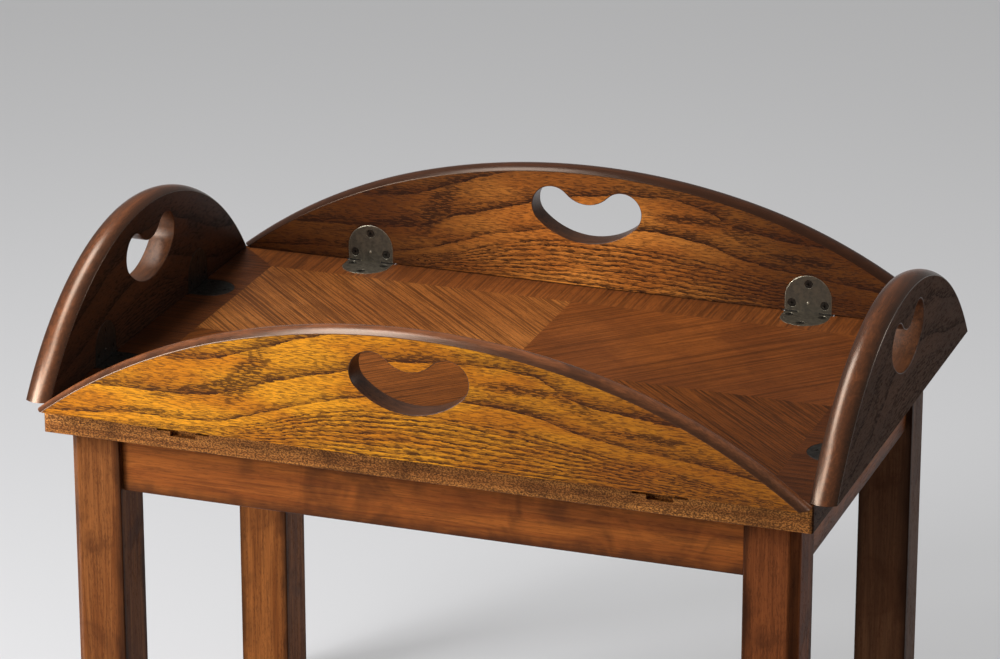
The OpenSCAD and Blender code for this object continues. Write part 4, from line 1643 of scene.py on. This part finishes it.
@dataclass
class Finishes:
    """The finishes of the leaves and the hinges, made once."""

    faces: dict[str, Finish] = field(default_factory=dict)
    edges: dict[Side, Finish] = field(default_factory=dict)
    hole: Finish = field(init=False)
    hidden: Finish = field(init=False)
    long_metals: list[Finish] = field(init=False)
    short_metals: list[Finish] = field(init=False)

    def __post_init__(self) -> None:
        """Makes the finishes."""
        self.make_faces()
        self.make_edges()
        self.make_metals()
        self.hole = StainedOak("hand_hole_oak", (104, 64, 40), (80, 49, 31), (50, 30, 20), roughness=0.3,
                               gloss=0.4, streak=5, relief=0.3).make()
        self.hidden = StainedOak("unvarnished_oak", (120, 82, 48), (98, 65, 38), (62, 42, 28), roughness=0.6,
                                 gloss=0.2).make()

    def make_faces(self) -> None:
        """Makes the finishes of the leaves' flat faces, each from its light, warm, line and end tones."""
        golden = (236, 157, 35), (209, 127, 27), (86, 43, 20), (140, 74, 26)
        sunburst_with_painted_shade = (244, 155, 66), (216, 128, 50), (68, 35, 19), (62, 32, 18)
        russet = (158, 94, 40), (140, 80, 34), (78, 44, 22), (110, 60, 28)
        umber = (150, 92, 44), (132, 78, 38), (72, 43, 24), (112, 66, 34)
        shaded = (98, 62, 40), (82, 52, 34), (46, 30, 21), (68, 43, 29)
        right_outer_painted_shade = (100, 64, 40), (86, 55, 35), (76, 49, 31), (74, 48, 31)
        # The front outer face darkens towards its right end as painted shade of light falling off to the
        # right.
        self.make_face(Side.FRONT, "outer", golden, left_shade=0.0, right_shade=0.75)
        self.make_face(Side.FRONT, "inner", russet, mirrored=True, seed=20)
        # The back inner face is painted lighter in the middle as painted light, and darker towards its ends
        # and top, partly a sunburst stain and partly painted shade.
        self.make_face(Side.BACK, "inner", sunburst_with_painted_shade, mirrored=True, left_shade=0.9, right_shade=0.9,
                       top_shade=0.6, shade_reach=0.62)
        self.make_face(Side.BACK, "outer", golden, seed=20)
        # The left leaf's inner face is painted dark as painted shadow.
        self.make_face(Side.LEFT, "inner", shaded, seed=5)
        self.make_face(Side.LEFT, "outer", umber, seed=9)
        self.make_face(Side.RIGHT, "inner", umber, seed=13)
        # The right leaf's outer face is painted dark as painted shade.
        self.make_face(Side.RIGHT, "outer", right_outer_painted_shade, gloss=0.01, seed=17)

    def make_face(self, side: Side, where: str, tones: tuple[Tone, ...], **details: object) -> None:
        """Makes the finish of one face.

        Args:
            side: The leaf's side.
            where: Whether it is the outer or the inner face.
            tones: The light, warm, line and end tones.
            details: What else sets the finish apart.
        """
        name = f"{side.label}_leaf_{where}_face"
        figure = LONG_FIGURE if side.is_long else SHORT_FIGURE
        self.faces[name] = FiguredOak(name, *tones, figure, **details).make()

    def make_edges(self) -> None:
        """Makes the glossy finishes of the leaves' crowned edges, each from its light and deep tones, with
        painted light and shade.
        """
        # The front edge is painted lighter as painted light, the back edge darker as painted shade, and every
        # edge darker along both arrises as painted shade.
        bright = (160, 94, 54), (132, 76, 42)
        middling = (118, 66, 36), (92, 52, 29)
        dull = (84, 47, 27), (66, 37, 22)
        kinds = {Side.FRONT: (bright, 1.0), Side.RIGHT: (middling, 1.0), Side.BACK: (dull, 0.5),
                 Side.LEFT: (middling, 1.0)}
        for side, (tones, gloss) in kinds.items():
            oak = StainedOak(f"{side.label}_leaf_edge_oak", *tones, (66, 38, 23), roughness=0.25, gloss=gloss,
                             shine=(255, 224, 198), streak=5, pore_length=16, pore_share=0.16, relief=0.08,
                             glaze=(46, 26, 17), glaze_half=(11.5, 0), glaze_width=10, glaze_wander=3,
                             shift=(0, 7, 0))
            self.edges[side] = oak.make()

    def make_metals(self) -> None:
        """Makes the hinges' metals. Only the long sides' plates show worn rims, partly wear and partly
        painted highlight; the short sides' plates are painted dark all over as painted shade.
        """
        metals = (
            WornMetal("antique_hinge_metal", (98, 90, 76), (72, 66, 56), roughness=0.44, metal=0.45),
            WornMetal("blackened_hinge_metal", (50, 46, 40), (32, 30, 26), roughness=0.4, metal=0.45),
            WornMetal("worn_rim_metal", (214, 204, 180), (120, 110, 94), roughness=0.3, metal=0.7, blotch=3),
            WornMetal("shaded_knuckle_metal", (40, 37, 33), (24, 22, 20), roughness=0.6, metal=0.3),
        )
        antique, black, rim, shaded = (metal.make() for metal in metals)
        self.long_metals = [antique, rim, shaded]
        self.short_metals = [black, black, shaded]

    def of_leaf(self, side: Side) -> dict[str, Finish]:
        """The finishes of one leaf's faces, by the part of the leaf that wears them."""
        return {
            "outer": self.faces[f"{side.label}_leaf_outer_face"],
            "inner": self.faces[f"{side.label}_leaf_inner_face"],
            "edge": self.edges[side],
            "hole": self.hole,
            "hidden": self.hidden,
        }

    def of_hinge(self, side: Side) -> list[Finish]:
        """The metals of a side's hinges."""
        return self.long_metals if side.is_long else self.short_metals


@dataclass(frozen=True)
class Board:
    """The veneered board: its core, lippings, border and four quarters."""

    slant: float = QUARTER_TURN / 2
    border_stripe: float = 3.0
    border_stripe_share: float = 0.45
    border_mottle: float = 0.5

    def dress(self) -> None:
        """Gives every layer of the board its finish."""
        core = StainedOak("board_core_wood", (150, 116, 78), (128, 96, 62), (92, 68, 44), roughness=0.6,
                          gloss=0.2, streak=30)
        dress(core.make(), "board_core")
        self.dress_lippings()
        across = (152, 87, 40), (124, 68, 31), (66, 37, 20)
        sideways = (112, 61, 28), (88, 46, 22), (46, 26, 15)
        self.dress_border("across", across, QUARTER_TURN, 0, "border_front", "border_back")
        self.dress_border("sideways", sideways, 0, 4, "border_left", "border_right")
        self.dress_quarters()

    def dress_lippings(self) -> None:
        """Gives the board's edges oak with a fine stipple of end pores."""
        long_edge = StainedOak("long_edge_oak", (226, 150, 76), (188, 118, 58), (78, 45, 25), pore_length=3,
                               streak=9, stipple=0.75)
        short_edge = StainedOak("short_edge_oak", (96, 60, 36), (76, 47, 29), (40, 27, 19), grain=Axis.Y,
                                gloss=0.02, pore_length=4, streak=6, stipple=0.6)
        dress(long_edge.make(), "lipping_front", "lipping_back")
        dress(short_edge.make(), "lipping_left", "lipping_right")

    def dress_border(self, way: str, tones: tuple[Tone, ...], turn: float, seed: float, *nodes: str) -> None:
        """Gives two border strips their veneer.

        Args:
            way: Which way the grain runs, as the finish's name spells it.
            tones: The light, deep and pore tones.
            turn: The angle of the grain.
            seed: What makes one veneer unlike another.
            nodes: The strips.
        """
        veneer = Veneer(f"border_grain_{way}", *tones, turn=turn, stripe=self.border_stripe,
                        stripe_share=self.border_stripe_share, mottle=self.border_mottle, seed=seed)
        dress(veneer.make(), *nodes)

    def dress_quarters(self) -> None:
        """Gives the quarters veneer whose stripes run out from the board's middle to its corners."""
        left, right = -self.slant, self.slant
        quarters = (
            Veneer("quarter_veneer_back_left", (184, 114, 54), (154, 90, 41), (76, 41, 20), left, seed=1),
            Veneer("quarter_veneer_back_right", (146, 81, 36), (121, 65, 30), (66, 36, 18), right,
                   stripe_share=0.55, mottle=0.85, seed=2),
            Veneer("quarter_veneer_front_right", (132, 72, 29), (106, 56, 22), (46, 26, 14), left, seed=3),
            Veneer("quarter_veneer_front_left", (156, 88, 35), (130, 71, 28), (56, 31, 15), right, seed=6),
        )
        for veneer in quarters:
            dress(veneer.make(), veneer.name.replace("_veneer", ""))


@dataclass(frozen=True)
class Fittings:
    """The screws, bolts, springs, blocks and glides that hold the table together."""

    steel: WornMetal = WornMetal("bright_steel", (176, 176, 172), (140, 140, 138), roughness=0.34, metal=1.0)
    screw: WornMetal = WornMetal("dark_screw_steel", (66, 61, 53), (34, 31, 28), roughness=0.36, metal=0.6,
                                 blotch=2.5)
    plastic: MouldedPlastic = MouldedPlastic("glide_plastic", (58, 56, 54), (40, 39, 38))
    block: StainedOak = StainedOak("block_wood", (176, 136, 88), (152, 114, 70), (118, 86, 54),
                                   roughness=0.62, gloss=0.2, pore_share=0.3)

    def dress(self) -> None:
        """Gives each fitting its finish."""
        dress(self.steel.make(), "leg_bolts", "leg_washers", "leg_nuts", "apron_screws", "board_screws",
              "catch_springs")
        leaf_screws = (f"leaf_screws_{side.label}" for side in Side)
        dress(self.screw.make(), "hinge_pins", "board_plate_screws", *leaf_screws)
        dress(self.plastic.make(), "foot_glides")
        corners = (f"block_{across}_{along}" for across in ("front", "back") for along in ("left", "right"))
        dress(self.block.make(), *corners)


def main() -> None:
    """Loads the frame and dresses the table around it."""
    logging.basicConfig(level=logging.INFO, format="%(name)s: %(message)s")
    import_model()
    bpy.context.scene.view_settings.view_transform = "Standard"
    Studio().make()
    board = BoardPlan.read()
    plate = PlateSizes()
    finishes = Finishes()
    for side in Side:
        kind = LongLeaf if side.is_long else ShortLeaf
        kind(side, board, plate, finishes.of_leaf(side)).make()
        for end in (-1, 1):
            Hinge(side, end, board, plate, finishes.of_hinge(side)).make()
    Legs().make()
    Aprons().make()
    Board().dress()
    Fittings().dress()


if __name__ == "__main__":
    main()
